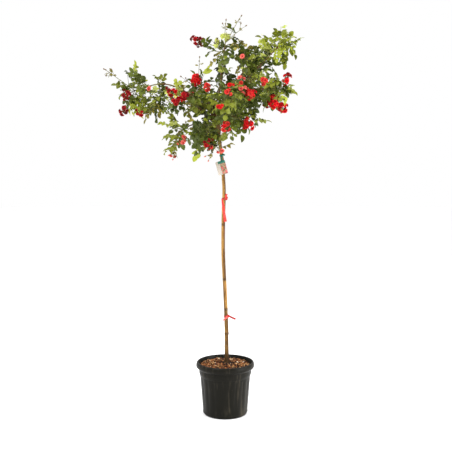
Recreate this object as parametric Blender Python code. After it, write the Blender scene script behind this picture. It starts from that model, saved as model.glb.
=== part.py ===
"""A potted weeping rose: a grafted standard on one bare stem, in a nursery pot.

Metres, +Z up. The origin is the middle of the pot's flat underside and -Y is the front.
The crown is a set of foliage masses. Each has an ellipsoid of space of its own, a cane that
brings it from the graft at the head of the trunk, and a stem with twigs, leaves and blooms.
"""

import math
import random
from dataclasses import dataclass

import bmesh
import bpy
from mathutils import Matrix, Vector
from mathutils.bvhtree import BVHTree

GAP = 0.0003  # between pieces that touch on the real plant
UP = Vector((0, 0, 1))
GOLDEN_ANGLE = math.pi * (3 - math.sqrt(5))
SEED = 182

# Nursery pot of the 12 inch size.
POT_SIDES = 40
POT_HEIGHT = 0.272
FOOT_RADIUS = 0.106
BASE_RADIUS = 0.117
BODY_RADIUS = 0.131
BAND_RADIUS = 0.136
RIM_RADIUS = 0.1515
MOUTH_RADIUS = 0.140
POT_WALL = 0.0026
POT_FLOOR = 0.003
FLUTE_DEPTH = 0.0008
FLUTE_HEIGHTS = (0.045, 0.060, 0.178, 0.190)
BAND_HEIGHTS = (0.205, 0.237)
DRAIN_HOLES = 5
DRAIN_FIRST = math.radians(25)  # from the front, towards +X
DRAIN_SIZE = (0.016, 0.030, 0.009)

# Bark mulch on the potting mix.
MULCH_EDGE = 0.251
MULCH_CROWN = 0.264
TRUNK_SEAT = 0.026  # radius of the level patch round the trunk

# Trunk stations from the cut at soil level to the graft: height, lean to +X, radius.
TRUNK_STATIONS = (
    (MULCH_CROWN + GAP, 0.008, 0.0160),
    (0.285, 0.008, 0.0115),
    (0.400, 0.007, 0.0100),
    (0.418, 0.007, 0.0118),
    (0.436, 0.007, 0.0100),
    (0.640, -0.001, 0.0097),
    (0.830, -0.010, 0.0094),
    (1.000, -0.010, 0.0091),
    (1.160, -0.006, 0.0088),
    (1.290, -0.014, 0.0086),
    (1.370, -0.023, 0.0086),
    (1.450, -0.035, 0.0110),
    (1.500, -0.043, 0.0190),
    (1.535, -0.049, 0.0225),
    (1.570, -0.056, 0.0205),
    (1.590, -0.061, 0.0120),
)
TRUNK_SIDES = 12
FLARE_LOBES = 4
FLARE_HEIGHT = 0.290
GRAFT_FOOT = 1.492
GRAFT_TOP = 1.578

# Canes, stems, twigs and what they carry.
CANE_SIDES = 5
CANE_STEPS = 4
CANE_RADIUS = 0.0048
CANE_TIP_RADIUS = 0.0038
CANE_ENTRY = 0.72  # how far out in a mass its cane ends
STEM_STEPS = 3
STEM_TIP_RADIUS = 0.0032
TWIG_RADIUS = 0.0018
TWIG_TIP_RADIUS = 0.0017
TWIG_REACH = 0.68
TWIGS_PER_MASS = 7
LEAF_LENGTH = 0.070
LEAF_WIDTH = 0.052
LEAF_WAIST = 0.52  # how far along its length a leaf is widest
LEAF_FOLD = 0.004  # how far its edges rise above its midrib
LEAF_SINK = 0.0004  # how far past a twig's middle a leaf's root goes
LEAF_SPACING = 0.014
LEAF_APART = 0.004  # two leaves' roots are at least this far apart
LEAVES_PER_MASS = 20
BLOOM_RADIUS = 0.0160
BLOOM_LENGTH = 0.034
BLOOM_WAIST = 0.62
BLOOM_SPACING = 0.0075
BUD_RADIUS = 0.0048
BUD_LENGTH = 0.046
BUD_WAIST = 0.84
# Each kind of shoot, how far short of its set end its tip is, and how far up it has leaves.
SHOOT_KINDS = (("blooms", 0.006, 0.8), ("buds", 0.024, 0.45), ("tufts", 0.032, 1.0))
TWIG_TRIES = 8
LEAF_TRIES = 6
SPACE_EDGE = 1.12  # how far out a mass's leaves may go, where 1 is its reach
SPACE_MARGIN = 0.02  # and how much nearer its own mass than any other
SHOOT_ROOM = 0.070  # near the end of a shoot, leaves may go this far from it instead
CLEARANCE = 0.0012


@dataclass(frozen=True)
class Mass:
    """One mass of foliage. Shoots are (x, y, z, count) in units of its reach from its centre."""

    name: str
    centre: tuple
    reach: tuple
    cane: tuple = None  # its start up the graft, 0 to 1, bearing in degrees, lift and sway
    blooms: tuple = ()
    buds: tuple = ()
    tufts: tuple = ()


MASSES = (
    Mass("left_outer", (-0.452, -0.020, 1.662), (0.086, 0.100, 0.112), (0.62, 190, 0.8, 0.03),
         blooms=((-0.5, -0.9, -0.3, 4), (-0.7, -0.6, -1.05, 5), (0.4, -0.8, -1.1, 2)),
         buds=((-1.75, 0.0, 0.95, 5),), tufts=((-0.25, 0.0, 0.9, 2),)),
    Mass("left_middle", (-0.345, 0.030, 1.636), (0.062, 0.090, 0.100), (0.42, 172, 0.45, -0.02),
         blooms=((-0.5, -0.9, 0.3, 1),), tufts=((0.3, -0.3, -0.9, 2), (-0.8, -0.6, -0.9, 1))),
    Mass("left_inner", (-0.240, -0.050, 1.620), (0.065, 0.090, 0.068), (0.22, 194, 0.35, 0),
         blooms=((-0.45, -1.0, 0.35, 3), (-0.05, -1.1, -0.35, 3), (0.6, -0.9, 0.1, 3)),
         tufts=((0.45, 0.0, -1.25, 2),)),
    Mass("lower_left", (-0.230, -0.080, 1.450), (0.074, 0.080, 0.062), (0.02, 205, -0.1, -0.02),
         blooms=((0.3, -0.8, -0.8, 3), (-0.5, -0.3, -1.75, 1)), buds=((-0.4, -0.2, -2.0, 2),),
         tufts=((-0.9, 0.2, 0.6, 2), (0.1, 0.0, 1.1, 2))),
    Mass("front_low", (-0.105, -0.150, 1.445), (0.078, 0.120, 0.080),
         blooms=((0.2, -0.6, -0.8, 3),), tufts=((-0.3, -0.4, -1.2, 2),)),
    Mass("neck", (-0.050, -0.070, 1.385), (0.045, 0.052, 0.052),
         blooms=((0.7, -0.6, -0.5, 1), (-0.35, -0.8, -0.2, 1)), buds=((-0.7, -0.3, -1.3, 2),)),
    Mass("centre_left", (-0.132, 0.000, 1.652), (0.072, 0.120, 0.096), (0.84, 176, 1, 0),
         blooms=((-0.25, -1.0, 0.65, 6), (0.6, -1.0, 0.2, 3)),
         buds=((0.0, 0.0, 1.8, 2), (-1.1, -0.5, 0.75, 2)),
         tufts=((0.4, -0.3, 1.2, 1), (1.0, -0.2, 0.75, 2))),
    Mass("centre_front", (0.010, -0.240, 1.600), (0.074, 0.120, 0.078), (0.35, 282, 0.5, 0),
         blooms=((-0.4, -1.0, -0.7, 1), (0.15, -0.9, 0.5, 1), (0.0, -1.0, 0.1, 1))),
    Mass("centre_right", (0.120, -0.120, 1.625), (0.068, 0.120, 0.076), (0.35, 325, 0.55, 0),
         blooms=((-0.7, -0.9, 0.85, 3), (-0.6, -1.0, 0.2, 3), (0.0, -1.0, -0.1, 6))),
    Mass("right", (0.245, -0.030, 1.665), (0.078, 0.120, 0.080), (0.5, 352, 0.7, -0.02),
         blooms=((-0.75, -0.9, 0.4, 2), (0.90, -0.4, 0.75, 4), (-0.1, -0.9, -1.15, 8),
                 (0.55, -0.6, -1.35, 5)),
         tufts=((1.2, 0.0, 0.4, 1),)),
    Mass("lower_right", (0.060, -0.180, 1.508), (0.092, 0.100, 0.062), (0.05, 308, 0.15, 0),
         blooms=((-0.7, -0.7, -0.9, 5), (0.7, -0.5, -0.7, 5)), tufts=((1.1, 0.0, -0.3, 2),)),
    Mass("upper_right", (0.293, 0.050, 1.920), (0.070, 0.110, 0.100), (0.72, 10, 1.1, 0.03),
         tufts=((-0.15, 0.0, 0.6, 2), (1.1, 0.0, -0.05, 2), (-1.1, 0.0, 0.3, 2))),
    Mass("upper_middle", (0.130, -0.020, 1.810), (0.064, 0.110, 0.084), (0.78, 342, 1.2, -0.02),
         blooms=((-0.65, -0.9, 0.05, 1),), tufts=((0.35, 0.0, 0.9, 1),)),
    Mass("upper_inner", (0.220, 0.120, 1.865), (0.045, 0.100, 0.076), (0.55, 30, 1, 0.03),
         tufts=((0.8, -0.4, -1.0, 1), (-0.7, -0.4, 0.85, 1))),
    Mass("top_spray", (0.002, 0.000, 1.905), (0.086, 0.090, 0.076), (1, 0, 2.4, 0),
         blooms=((-1.9, -0.1, 0.25, 6),),
         buds=((0.85, 0.0, 1.7, 2), (0.0, 0.0, 1.4, 3), (1.1, 0.0, 1.1, 2)),
         tufts=((0.85, 0.0, 0.8, 2), (1.2, 0.0, 0.2, 1), (0.8, -0.1, -0.8, 2),
                (-0.8, -0.2, -1.1, 1), (-1.2, 0.0, -0.4, 1))),
    Mass("mid_upper", (-0.010, 0.050, 1.762), (0.064, 0.090, 0.056), (0.90, 100, 1.6, 0)),
    Mass("back_centre", (0.054, 0.200, 1.657), (0.082, 0.130, 0.076), (0.48, 66, 0.6, 0),
         blooms=((0.2, 0.9, 0.4, 4), (-0.5, 0.4, 0.95, 2))),
    Mass("back_low", (-0.097, 0.165, 1.483), (0.070, 0.110, 0.070),
         blooms=((0.3, 0.8, -0.5, 4), (-0.7, 0.5, -0.6, 2))),
    Mass("back_right", (0.214, 0.230, 1.698), (0.072, 0.110, 0.078), (0.3, 38, 0.7, 0.02),
         blooms=((0.6, 0.7, 0.3, 4), (0.2, 0.6, -0.9, 5))),
    Mass("back_left", (-0.154, 0.260, 1.667), (0.067, 0.120, 0.078), (0.55, 112, 0.75, 0),
         blooms=((-0.5, 0.6, 0.5, 4), (0.0, 0.8, -0.7, 3))),
    Mass("back_upper", (0.160, 0.230, 1.800), (0.072, 0.100, 0.076), (0.78, 50, 1.2, 0),
         blooms=((0.3, 0.8, 0.4, 2),)),
    Mass("far_back", (0.030, 0.400, 1.640), (0.080, 0.090, 0.080), (0.28, 88, 0.75, 0),
         blooms=((0.4, 0.8, 0.0, 4), (-0.6, 0.6, -0.6, 3))),
)

# Tape ties round the trunk, and the label that hangs from it.
TAPE_WIDTH = 0.013
TAPE_THICKNESS = 0.0014
KNOT_RADIUS = 0.005
KNOT_HEIGHT = 0.018
UPPER_TIE_HEIGHT = 1.118
UPPER_TAIL = 0.105
LOWER_TIE_HEIGHT = 0.508
LOWER_TAIL = 0.030
TAG_WIDTH = 0.050
TAG_HEIGHT = 0.070
TAG_HOLE = 0.008  # from the middle of the card's top edge, so it hangs askew
TAG_THICKNESS = 0.0012
TAG_TURN = math.radians(-15)
TAG_HANGER_HEIGHT = 1.338
TAG_HANGER_WIDTH = 0.009
TAG_STRAP = 0.026  # from the band down to the card's hole

COLOURS = {
    "pot_plastic": ((0.022, 0.023, 0.025), 0.55),
    "bark_mulch": ((0.085, 0.036, 0.018), 0.95),
    "bark": ((0.17, 0.095, 0.045), 0.85),
    "foliage": ((0.085, 0.135, 0.020), 0.60),
    "tape": ((0.80, 0.085, 0.060), 0.50),
    "label": ((0.78, 0.76, 0.70), 0.45),
}


def material(name):
    """The named plain material, made on first use."""
    made = bpy.data.materials.get(name)
    if made is None:
        colour, roughness = COLOURS[name]
        made = bpy.data.materials.new(name)
        made.use_nodes = True
        shader = made.node_tree.nodes["Principled BSDF"]
        shader.inputs["Base Color"].default_value = (*colour, 1)
        shader.inputs["Roughness"].default_value = roughness
    return made


def piece(name, shape, material_name, smooth=True):
    """An object made from a shape, which is a list of points and a list of faces."""
    points, faces = shape
    mesh = bpy.data.meshes.new(name)
    mesh.from_pydata(points, [], faces)
    mesh.materials.append(material(material_name))
    if smooth:
        mesh.shade_smooth()
        mesh.set_sharp_from_angle(angle=math.radians(40))
    made = bpy.data.objects.new(name, mesh)
    bpy.context.scene.collection.objects.link(made)
    return made


# Shapes.


def rings(levels):
    """A closed solid from rings of points, each given from the bottom up, with flat ends."""
    sides = len(levels[0])
    points = [point for level in levels for point in level]
    faces = [tuple(reversed(range(sides)))]
    for level in range(len(levels) - 1):
        for turn in range(sides):
            here = level * sides + turn
            beside = level * sides + (turn + 1) % sides
            faces.append((here, beside, beside + sides, here + sides))
    faces.append(tuple(range(len(points) - sides, len(points))))
    return points, faces


def tube(centres, radii, sides, leaving=None):
    """A tapering limb along its centres. Its first end is square to leaving, if that is given."""
    heading = leaving or (centres[1] - centres[0]).normalized()
    side = heading.orthogonal().normalized()
    levels = []
    for index, (centre, radius) in enumerate(zip(centres, radii)):
        if index > 0:
            ahead = centres[min(index + 1, len(centres) - 1)]
            onward = (ahead - centres[index - 1]).normalized()
            side = heading.rotation_difference(onward) @ side
            heading = onward
        spin = [Matrix.Rotation(turn * math.tau / sides, 3, heading) for turn in range(sides)]
        levels.append([centre + around @ side * radius for around in spin])
    return rings(levels)


def leaf_frame(root, heading, facing):
    """A leaf's two edges at its waist, folded up from its midrib, its tip and its upward side."""
    across = heading.cross(facing).normalized()
    lift = across.cross(heading).normalized()
    waist = root + heading * LEAF_LENGTH * LEAF_WAIST + lift * LEAF_FOLD
    half = across * LEAF_WIDTH / 2
    return [waist + half, waist - half, root + heading * LEAF_LENGTH], lift


def leaf(root, heading, facing):
    """A leaf folded along its midrib, widest at its waist and pointed at both ends."""
    blade, _ = leaf_frame(root, heading, facing)
    return [root, *blade], [(0, 1, 2), (1, 3, 2), (0, 3, 1), (0, 2, 3)]


def leafy_twig(start, end, heading, facing):
    """A three-sided twig that ends in a leaf, as one closed shape."""
    blade, lift = leaf_frame(end, heading, facing)
    points = []
    for centre, radius, along in (
        (start, TWIG_RADIUS, (end - start).normalized()),
        (end, TWIG_TIP_RADIUS, heading),
    ):
        side = (lift - along * along.dot(lift)).normalized() * radius
        points += [centre + Matrix.Rotation(turn * math.tau / 3, 3, along) @ side for turn in range(3)]
    points += blade
    foot, neck, edge, other_edge, tip = 0, 3, 6, 7, 8
    faces = [(foot, foot + 2, foot + 1)]
    for turn in range(3):
        beside = (turn + 1) % 3
        faces.append((foot + turn, foot + beside, neck + beside, neck + turn))
    faces += [(neck, edge, other_edge), (edge, tip, other_edge), (neck, neck + 1, edge)]
    faces += [(neck + 1, tip, edge), (neck + 1, neck + 2, tip)]
    faces += [(neck + 2, other_edge, tip), (neck + 2, neck, other_edge)]
    return points, faces


def spindle(foot, heading, length, radius, sides, waist):
    """A bloom or a bud on its stalk: two cones, base to base."""
    side = heading.orthogonal().normalized() * radius
    middle = foot + heading * length * waist
    spin = [Matrix.Rotation(turn * math.tau / sides, 3, heading) for turn in range(sides)]
    points = [foot, *(middle + around @ side for around in spin), foot + heading * length]
    faces = []
    for turn in range(sides):
        here = 1 + turn
        beside = 1 + (turn + 1) % sides
        faces.append((0, beside, here))
        faces.append((sides + 1, here, beside))
    return points, faces


def curve(start, leave, arrive, end, steps):
    """Points along the cubic curve with these two handles."""
    points = []
    for step in range(steps + 1):
        t = step / steps
        s = 1 - t
        points.append(
            start * s**3 + leave * (3 * s * s * t) + arrive * (3 * s * t * t) + end * t**3
        )
    return points


def taper(first, last, count):
    """Radii that fall evenly from first to last."""
    return [first + (last - first) * index / (count - 1) for index in range(count)]


# Pot and mulch.


def inner_radius(height):
    """The pot's inside: an even taper up to the band, then a flare to the mouth."""
    low, high = BASE_RADIUS - POT_WALL - 0.002, BAND_RADIUS - POT_WALL - 0.002
    knee = BAND_HEIGHTS[1]
    if height <= knee:
        return low + (high - low) * (height - POT_FLOOR) / (knee - POT_FLOOR)
    return high + (MOUTH_RADIUS - high) * (height - knee) / (POT_HEIGHT - knee)


def circle(radius, height, dent=0.0):
    """A ring of points, with every second one set in by dent."""
    level = []
    for side in range(POT_SIDES):
        angle = side * math.tau / POT_SIDES
        reach = radius - dent * (side % 2)
        level.append(Vector((reach * math.cos(angle), reach * math.sin(angle), height)))
    return level


def body_radius(height):
    """The pot's outside between its base and its band."""
    low = 0.030
    return BASE_RADIUS + (BODY_RADIUS - BASE_RADIUS) * (height - low) / (BAND_HEIGHTS[0] - low)


def pot():
    """Fluted pot with a band and a rolled rim, and drain holes cut through its lower edge."""
    corner = BASE_RADIUS - FOOT_RADIUS
    levels = [circle(FOOT_RADIUS, 0)]
    for angle in (math.radians(45), math.radians(90)):
        inset = corner * (1 - math.sin(angle))
        levels.append(circle(BASE_RADIUS - inset, corner * 1.3 * (1 - math.cos(angle))))
    for height, dent in zip(FLUTE_HEIGHTS, (0, FLUTE_DEPTH, FLUTE_DEPTH, 0)):
        levels.append(circle(body_radius(height), height, dent))
    levels.append(circle(BODY_RADIUS, BAND_HEIGHTS[0] - 0.004))
    levels += [circle(BAND_RADIUS, height) for height in BAND_HEIGHTS]
    roll = POT_HEIGHT - BAND_HEIGHTS[1]
    for part, radius in ((0.12, 0.145), (0.45, RIM_RADIUS), (0.78, 0.1495), (1.0, 0.1440)):
        levels.append(circle(radius, BAND_HEIGHTS[1] + roll * part))
    for height in (POT_HEIGHT, BAND_HEIGHTS[1], POT_FLOOR):
        levels.append(circle(inner_radius(height), height))
    made = piece("pot", rings(levels), "pot_plastic")
    holes = bpy.data.collections.new("drain_holes")
    bpy.context.scene.collection.children.link(holes)
    for index in range(DRAIN_HOLES):
        bearing = DRAIN_FIRST + index * math.tau / DRAIN_HOLES - math.pi / 2
        cutter = drain_cutter(bearing)
        holes.objects.link(cutter)
    cut = made.modifiers.new("drain", "BOOLEAN")
    cut.operation = "DIFFERENCE"
    cut.operand_type = "COLLECTION"
    cut.collection = holes
    cut.solver = "MANIFOLD"  # EXACT leaves open edges where the holes cross the floor
    apply_boolean(made, holes)
    return made


def drain_cutter(bearing):
    """A block across the pot's lower corner at this bearing."""
    width, depth, height = DRAIN_SIZE
    mesh = bpy.data.meshes.new("drain_cutter")
    block = bmesh.new()
    bmesh.ops.create_cube(block, size=1, matrix=Matrix.Diagonal((depth, width, height * 2, 1)))
    block.to_mesh(mesh)
    block.free()
    cutter = bpy.data.objects.new("drain_cutter", mesh)
    cutter.matrix_world = Matrix.Rotation(bearing, 4, "Z") @ Matrix.Translation((BASE_RADIUS, 0, 0))
    return cutter


def potting_mix():
    """The mix that fills the pot, mounded to a level patch under the trunk."""
    heights = (POT_FLOOR + GAP, BAND_HEIGHTS[1], MULCH_EDGE)
    levels = [circle(inner_radius(height) - GAP * 1.5, height) for height in heights]
    for part in (0.7, 0.4):
        rise = (MULCH_CROWN - MULCH_EDGE) * (1 - part * part)
        levels.append(circle(inner_radius(MULCH_EDGE) * part, MULCH_EDGE + rise))
    levels.append(circle(TRUNK_SEAT, MULCH_CROWN))
    return piece("potting_mix", rings(levels), "bark_mulch")


# Trunk and canes.


def trunk_centre(height):
    """The trunk's middle at a height, straight between its stations."""
    for low, high in zip(TRUNK_STATIONS, TRUNK_STATIONS[1:]):
        if height <= high[0]:
            break
    part = (height - low[0]) / (high[0] - low[0])
    return Vector((low[1] + (high[1] - low[1]) * part, 0, height))


def trunk_radius(height):
    for low, high in zip(TRUNK_STATIONS, TRUNK_STATIONS[1:]):
        if height <= high[0]:
            break
    return low[2] + (high[2] - low[2]) * (height - low[0]) / (high[0] - low[0])


def trunk():
    """Bare stem from its cut at soil level, with root flare, a knot and the graft's swelling."""
    levels = []
    for height, lean, radius in TRUNK_STATIONS:
        level = []
        lobes = max(0.0, (FLARE_HEIGHT - height) / (FLARE_HEIGHT - MULCH_CROWN))
        for side in range(TRUNK_SIDES):
            angle = side * math.tau / TRUNK_SIDES
            reach = radius * (1 + 0.14 * lobes * math.cos(FLARE_LOBES * angle))
            level.append(
                Vector((lean + reach * math.cos(angle), reach * math.sin(angle), height))
            )
        levels.append(level)
    return rings(levels)


def seat(surface, root, heading, radius):
    """How far from root along heading a flat cap of this radius lies a gap clear of the surface."""
    side = heading.orthogonal().normalized() * radius
    tests = [root]
    for part in (0.35, 0.7, 1):
        for turn in range(24):
            tests.append(root + Matrix.Rotation(turn * math.tau / 24, 3, heading) @ side * part)
    far = heading * 0.2
    hits = [surface.ray_cast(test + far, -heading)[0] for test in tests]
    return max((hit - root).dot(heading) for hit in hits if hit is not None) + GAP


def out_of(mass, point):
    """How far out a point lies in a mass: 0 at the centre and 1 on its skin."""
    parts = [(p - c) / r for p, c, r in zip(point, mass.centre, mass.reach)]
    return math.sqrt(sum(part * part for part in parts))


def inside(mass, offset):
    """The point at an offset in units of the mass's reach."""
    return Vector(c + o * r for c, o, r in zip(mass.centre, offset, mass.reach))


def cane(mass, surface):
    """Centres of the cane that runs from the graft into a mass."""
    leave_at, bearing, lift, sway = mass.cane
    root = trunk_centre(GRAFT_FOOT + (GRAFT_TOP - GRAFT_FOOT) * leave_at)
    centre = Vector(mass.centre)
    level = Vector((math.cos(math.radians(bearing)), math.sin(math.radians(bearing)), 0))
    back = Vector((root - centre)[axis] / mass.reach[axis] for axis in range(3)).normalized()
    if lift < 0.9:
        back = (back + UP * 0.5).normalized()
    end = inside(mass, back * CANE_ENTRY)
    heading = (level + UP * lift).normalized()
    start = root + heading * seat(surface, root, heading, CANE_RADIUS)
    span = (end - start).length * 0.38
    arriving = (centre - end).normalized()
    aside = UP.cross(level) * sway
    centres = curve(start, start + heading * span, end - arriving * span + aside, end, CANE_STEPS)
    return centres, heading


# Foliage.


def grown(shape):
    """A shape with each point moved out from its middle by the clearance."""
    points, faces = shape
    middle = sum(points, Vector()) / len(points)
    return [point + (point - middle).normalized() * CLEARANCE for point in points], faces


def tree_of(shapes):
    """A search tree of many shapes' faces."""
    points = []
    faces = []
    for shape_points, shape_faces in shapes:
        first = len(points)
        points += shape_points
        faces += [tuple(first + index for index in face) for face in shape_faces]
    return BVHTree.FromPolygons(points, faces)


class Growth:
    """The limbs and every mass's shapes so far, with the rule that keeps the masses apart."""

    def __init__(self, limbs):
        self.limbs = limbs
        self.shapes = {mass.name: [] for mass in MASSES}
        self.middles = {mass.name: [] for mass in MASSES}  # of leaves and blooms

    def add(self, mass, shape):
        self.shapes[mass.name].append(shape)

    def around(self, mass):
        """A search tree of all that a mass's new shapes must miss."""
        others = [shape for name, made in self.shapes.items() if name != mass.name for shape in made]
        return tree_of(self.limbs + others)

    def clear_of_own(self, mass, shape, rooted):
        """Whether a shape misses its own mass's others, past the rooted part of its length."""
        points, faces = shape
        tip = points[-1]
        outer = [tip + (point - tip) * (1 - rooted) for point in points]
        return not tree_of([(outer, faces)]).overlap(tree_of(self.shapes[mass.name]))

    def keeps(self, mass, shape, shoot_tip=None):
        """Whether a shape stays in its mass's own space, or near the end of its own shoot."""
        for point in shape[0]:
            if shoot_tip is not None and (point - shoot_tip).length < SHOOT_ROOM:
                continue
            own = out_of(mass, point)
            if own > SPACE_EDGE:
                return False
            for other in MASSES:
                if other is not mass and out_of(other, point) < own + SPACE_MARGIN:
                    return False
        return True


def misses(shape, surroundings):
    return not tree_of([grown(shape)]).overlap(surroundings)


def stem_of(mass, start, heading, radius, surroundings):
    """The mass's stem: it leaves on its cane's line and curves to the far side of the mass."""
    rng = random.Random(f"{mass.name} stem {SEED}")
    centre = Vector(mass.centre)
    for _ in range(60):
        onward = (centre - start).normalized() + Vector(rng.uniform(-0.45, 0.45) for _ in range(3))
        far = inside(mass, onward.normalized() * 0.6)
        span = (far - start).length * 0.4
        bend = centre + (far - centre) * 0.2
        centres = curve(start, start + heading * span, bend, far, STEM_STEPS)
        shape = tube(centres, taper(radius, STEM_TIP_RADIUS, len(centres)), 3, heading)
        clear = tube(centres[1:], [radius + CLEARANCE] * (len(centres) - 1), 3)
        if misses(clear, surroundings):
            return centres, shape
    raise RuntimeError(f"no clear way for the stem of {mass.name}")


def branch_point(stem, target):
    """Where on the stem a twig to the target leaves: short of the nearest point."""
    steps = len(stem) - 1
    places = [stem[int(k)].lerp(stem[int(k) + 1], k % 1) for k in (n / 4 for n in range(4 * steps))]
    nearest = min(range(len(places)), key=lambda n: (places[n] - target).length)
    return places[max(1, nearest - 4)]


def turned(along, tilt, turn):
    """The direction tilted from along and turned about it, in radians."""
    leaning = Matrix.Rotation(tilt, 3, along.orthogonal()) @ along
    return (Matrix.Rotation(turn, 3, along) @ leaning).normalized()


def blooms_of(tip, along, count):
    """Blooms set round the last stretch of a shoot, the first at its tip."""
    for index in range(count):
        heading = turned(along, math.radians(65 if index else 8), index * GOLDEN_ANGLE)
        foot = tip - along * (0.003 + index * BLOOM_SPACING)
        yield spindle(foot, heading, BLOOM_LENGTH, BLOOM_RADIUS, 4, BLOOM_WAIST)


def buds_of(tip, along, count):
    """Buds on thin stalks that fan out from the end of a shoot."""
    for index in range(count):
        heading = turned(along, math.radians(38 if index else 5), index * GOLDEN_ANGLE)
        foot = tip - along * (0.002 + index * 0.007)
        yield spindle(foot, heading, BUD_LENGTH, BUD_RADIUS, 3, BUD_WAIST)


def grow_shoots(mass, stem, growth):
    """Bare shoots to their set ends, with their blooms and buds. Returns the shoots."""
    surroundings = growth.around(mass)
    shoots = []
    for kind, short_by, leafy_to in SHOOT_KINDS:
        for *offset, count in getattr(mass, kind):
            target = inside(mass, offset)
            start = branch_point(stem, target)
            along = (target - start).normalized()
            tip = target - along * short_by
            shoot = tube([start, tip], [TWIG_RADIUS, TWIG_TIP_RADIUS], 3)
            if not misses(shoot, surroundings):
                continue
            growth.add(mass, shoot)
            shoots.append((start, start.lerp(tip, leafy_to), count if kind == "tufts" else 0, tip))
            carried = []
            if kind == "blooms":
                carried = blooms_of(tip, along, count)
            elif kind == "buds":
                carried = buds_of(tip, along, count)
            for shape in carried:
                if misses(shape, surroundings) and growth.clear_of_own(mass, shape, 0.5):
                    growth.add(mass, shape)
                    growth.middles[mass.name].append(shape[0][0].lerp(shape[0][-1], 0.6))
    return shoots


def grow_twigs(mass, stem, growth):
    """Twigs, each with a leaf at its end, that aim evenly at the mass's skin."""
    rng = random.Random(f"{mass.name} twigs {SEED}")
    centre = Vector(mass.centre)
    surroundings = growth.around(mass)
    spin = rng.uniform(0, math.tau)
    twigs = []
    for index in range(TWIGS_PER_MASS):
        rise = 1 - 2 * (index + 0.5) / TWIGS_PER_MASS
        flat = math.sqrt(1 - rise * rise)
        angle = spin + index * GOLDEN_ANGLE
        aim = Vector((flat * math.cos(angle), flat * math.sin(angle), rise))
        for attempt in range(TWIG_TRIES):
            end = inside(mass, aim * TWIG_REACH * (1 - 0.5 * attempt / TWIG_TRIES))
            start = branch_point(stem, end)
            outward = (end - centre).normalized()
            heading = turned((outward - UP * 0.3).normalized(), rng.uniform(0.2, 1.2), rng.uniform(0, 7))
            shape = leafy_twig(start, end, heading, (outward + UP * 0.4).normalized())
            fits = growth.keeps(mass, shape) and misses(shape, surroundings)
            if fits and growth.clear_of_own(mass, shape, 0.3):
                growth.add(mass, shape)
                growth.middles[mass.name].append(end + heading * LEAF_LENGTH / 2)
                twigs.append((start, end, 0, None))
                break
    return twigs


def leaf_places(mass, stem, twigs):
    """Leaves that a mass may carry: each one's root, heading, facing and its shoot's tip."""
    rng = random.Random(f"{mass.name} leaves {SEED}")
    centre = Vector(mass.centre)
    limbs = [(low, high, 0, None) for low, high in zip(stem, stem[1:])] + twigs
    for start, end, tuft, tip in limbs:
        along = (end - start).normalized()
        count = max(1, int((end - start).length / LEAF_SPACING))
        for index in range(count + tuft):
            place = start.lerp(end, min(0.97, 0.25 + 0.72 * (index + 0.5) / count))
            for _ in range(LEAF_TRIES):
                heading = turned(along, rng.uniform(0.35, 1.5), rng.uniform(0, math.tau))
                outward = (place + heading * LEAF_LENGTH - centre).normalized()
                facing = outward + UP * 0.5 + Vector(rng.uniform(-0.3, 0.3) for _ in range(3))
                yield place, heading, facing.normalized(), tip


def grow_leaves(mass, stem, shoots, twigs, growth):
    """Leaves on the stem, shoots and twigs. Each next one goes where there is the most room."""
    surroundings = growth.around(mass)
    middles = growth.middles[mass.name]
    ready = []
    for root, heading, facing, tip in leaf_places(mass, stem, shoots + twigs):
        shape = leaf(root - heading * LEAF_SINK, heading, facing)
        if growth.keeps(mass, shape, tip) and misses(shape, surroundings):
            middle = root + heading * LEAF_LENGTH / 2
            room = min(((middle - other).length for other in middles), default=1)
            ready.append([room, middle, shape, root])
    left = round(LEAVES_PER_MASS * leafiness(mass)) - len(twigs)
    while left > 0 and ready:
        best = max(ready, key=lambda entry: entry[0])
        ready.remove(best)
        _, middle, shape, root = best
        if not growth.clear_of_own(mass, shape, 0.25):
            continue
        growth.add(mass, shape)
        middles.append(middle)
        left -= 1
        ready = [entry for entry in ready if (entry[3] - root).length > LEAF_APART]
        for entry in ready:
            entry[0] = min(entry[0], (entry[1] - middle).length)


def leafiness(mass):
    """A mass's share of leaves, from its size beside the common one."""
    x, y, z = mass.reach
    return (x * y * z / (0.07 * 0.11 * 0.08)) ** (2 / 3)


def apply_boolean(made, helpers):
    """Bakes the object's Boolean into its mesh and removes the collection it used."""
    graph = bpy.context.evaluated_depsgraph_get()
    graph.update()
    mesh = bpy.data.meshes.new_from_object(made.evaluated_get(graph))
    old = made.data
    made.modifiers.clear()
    made.data = mesh
    bpy.data.meshes.remove(old)
    for helper in list(helpers.objects):
        bpy.data.meshes.remove(helper.data)
    bpy.data.collections.remove(helpers)


def keep_largest(mesh):
    """Drops every part but the one with the most faces, which also fills any sealed hollow."""
    shape = bmesh.new()
    shape.from_mesh(mesh)
    left = set(shape.faces)
    parts = []
    while left:
        part, front = [], [left.pop()]
        while front:
            face = front.pop()
            part.append(face)
            edges = [edge for edge in face.edges if len(edge.link_faces) == 2]
            beside = {other for edge in edges for other in edge.link_faces} & left
            left -= beside
            front += beside
        parts.append(part)
    parts.sort(key=len)
    for part in parts[:-1]:
        bmesh.ops.delete(shape, geom=part, context="FACES")
    bmesh.ops.triangulate(shape, faces=shape.faces[:])
    shape.to_mesh(mesh)
    shape.free()


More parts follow.
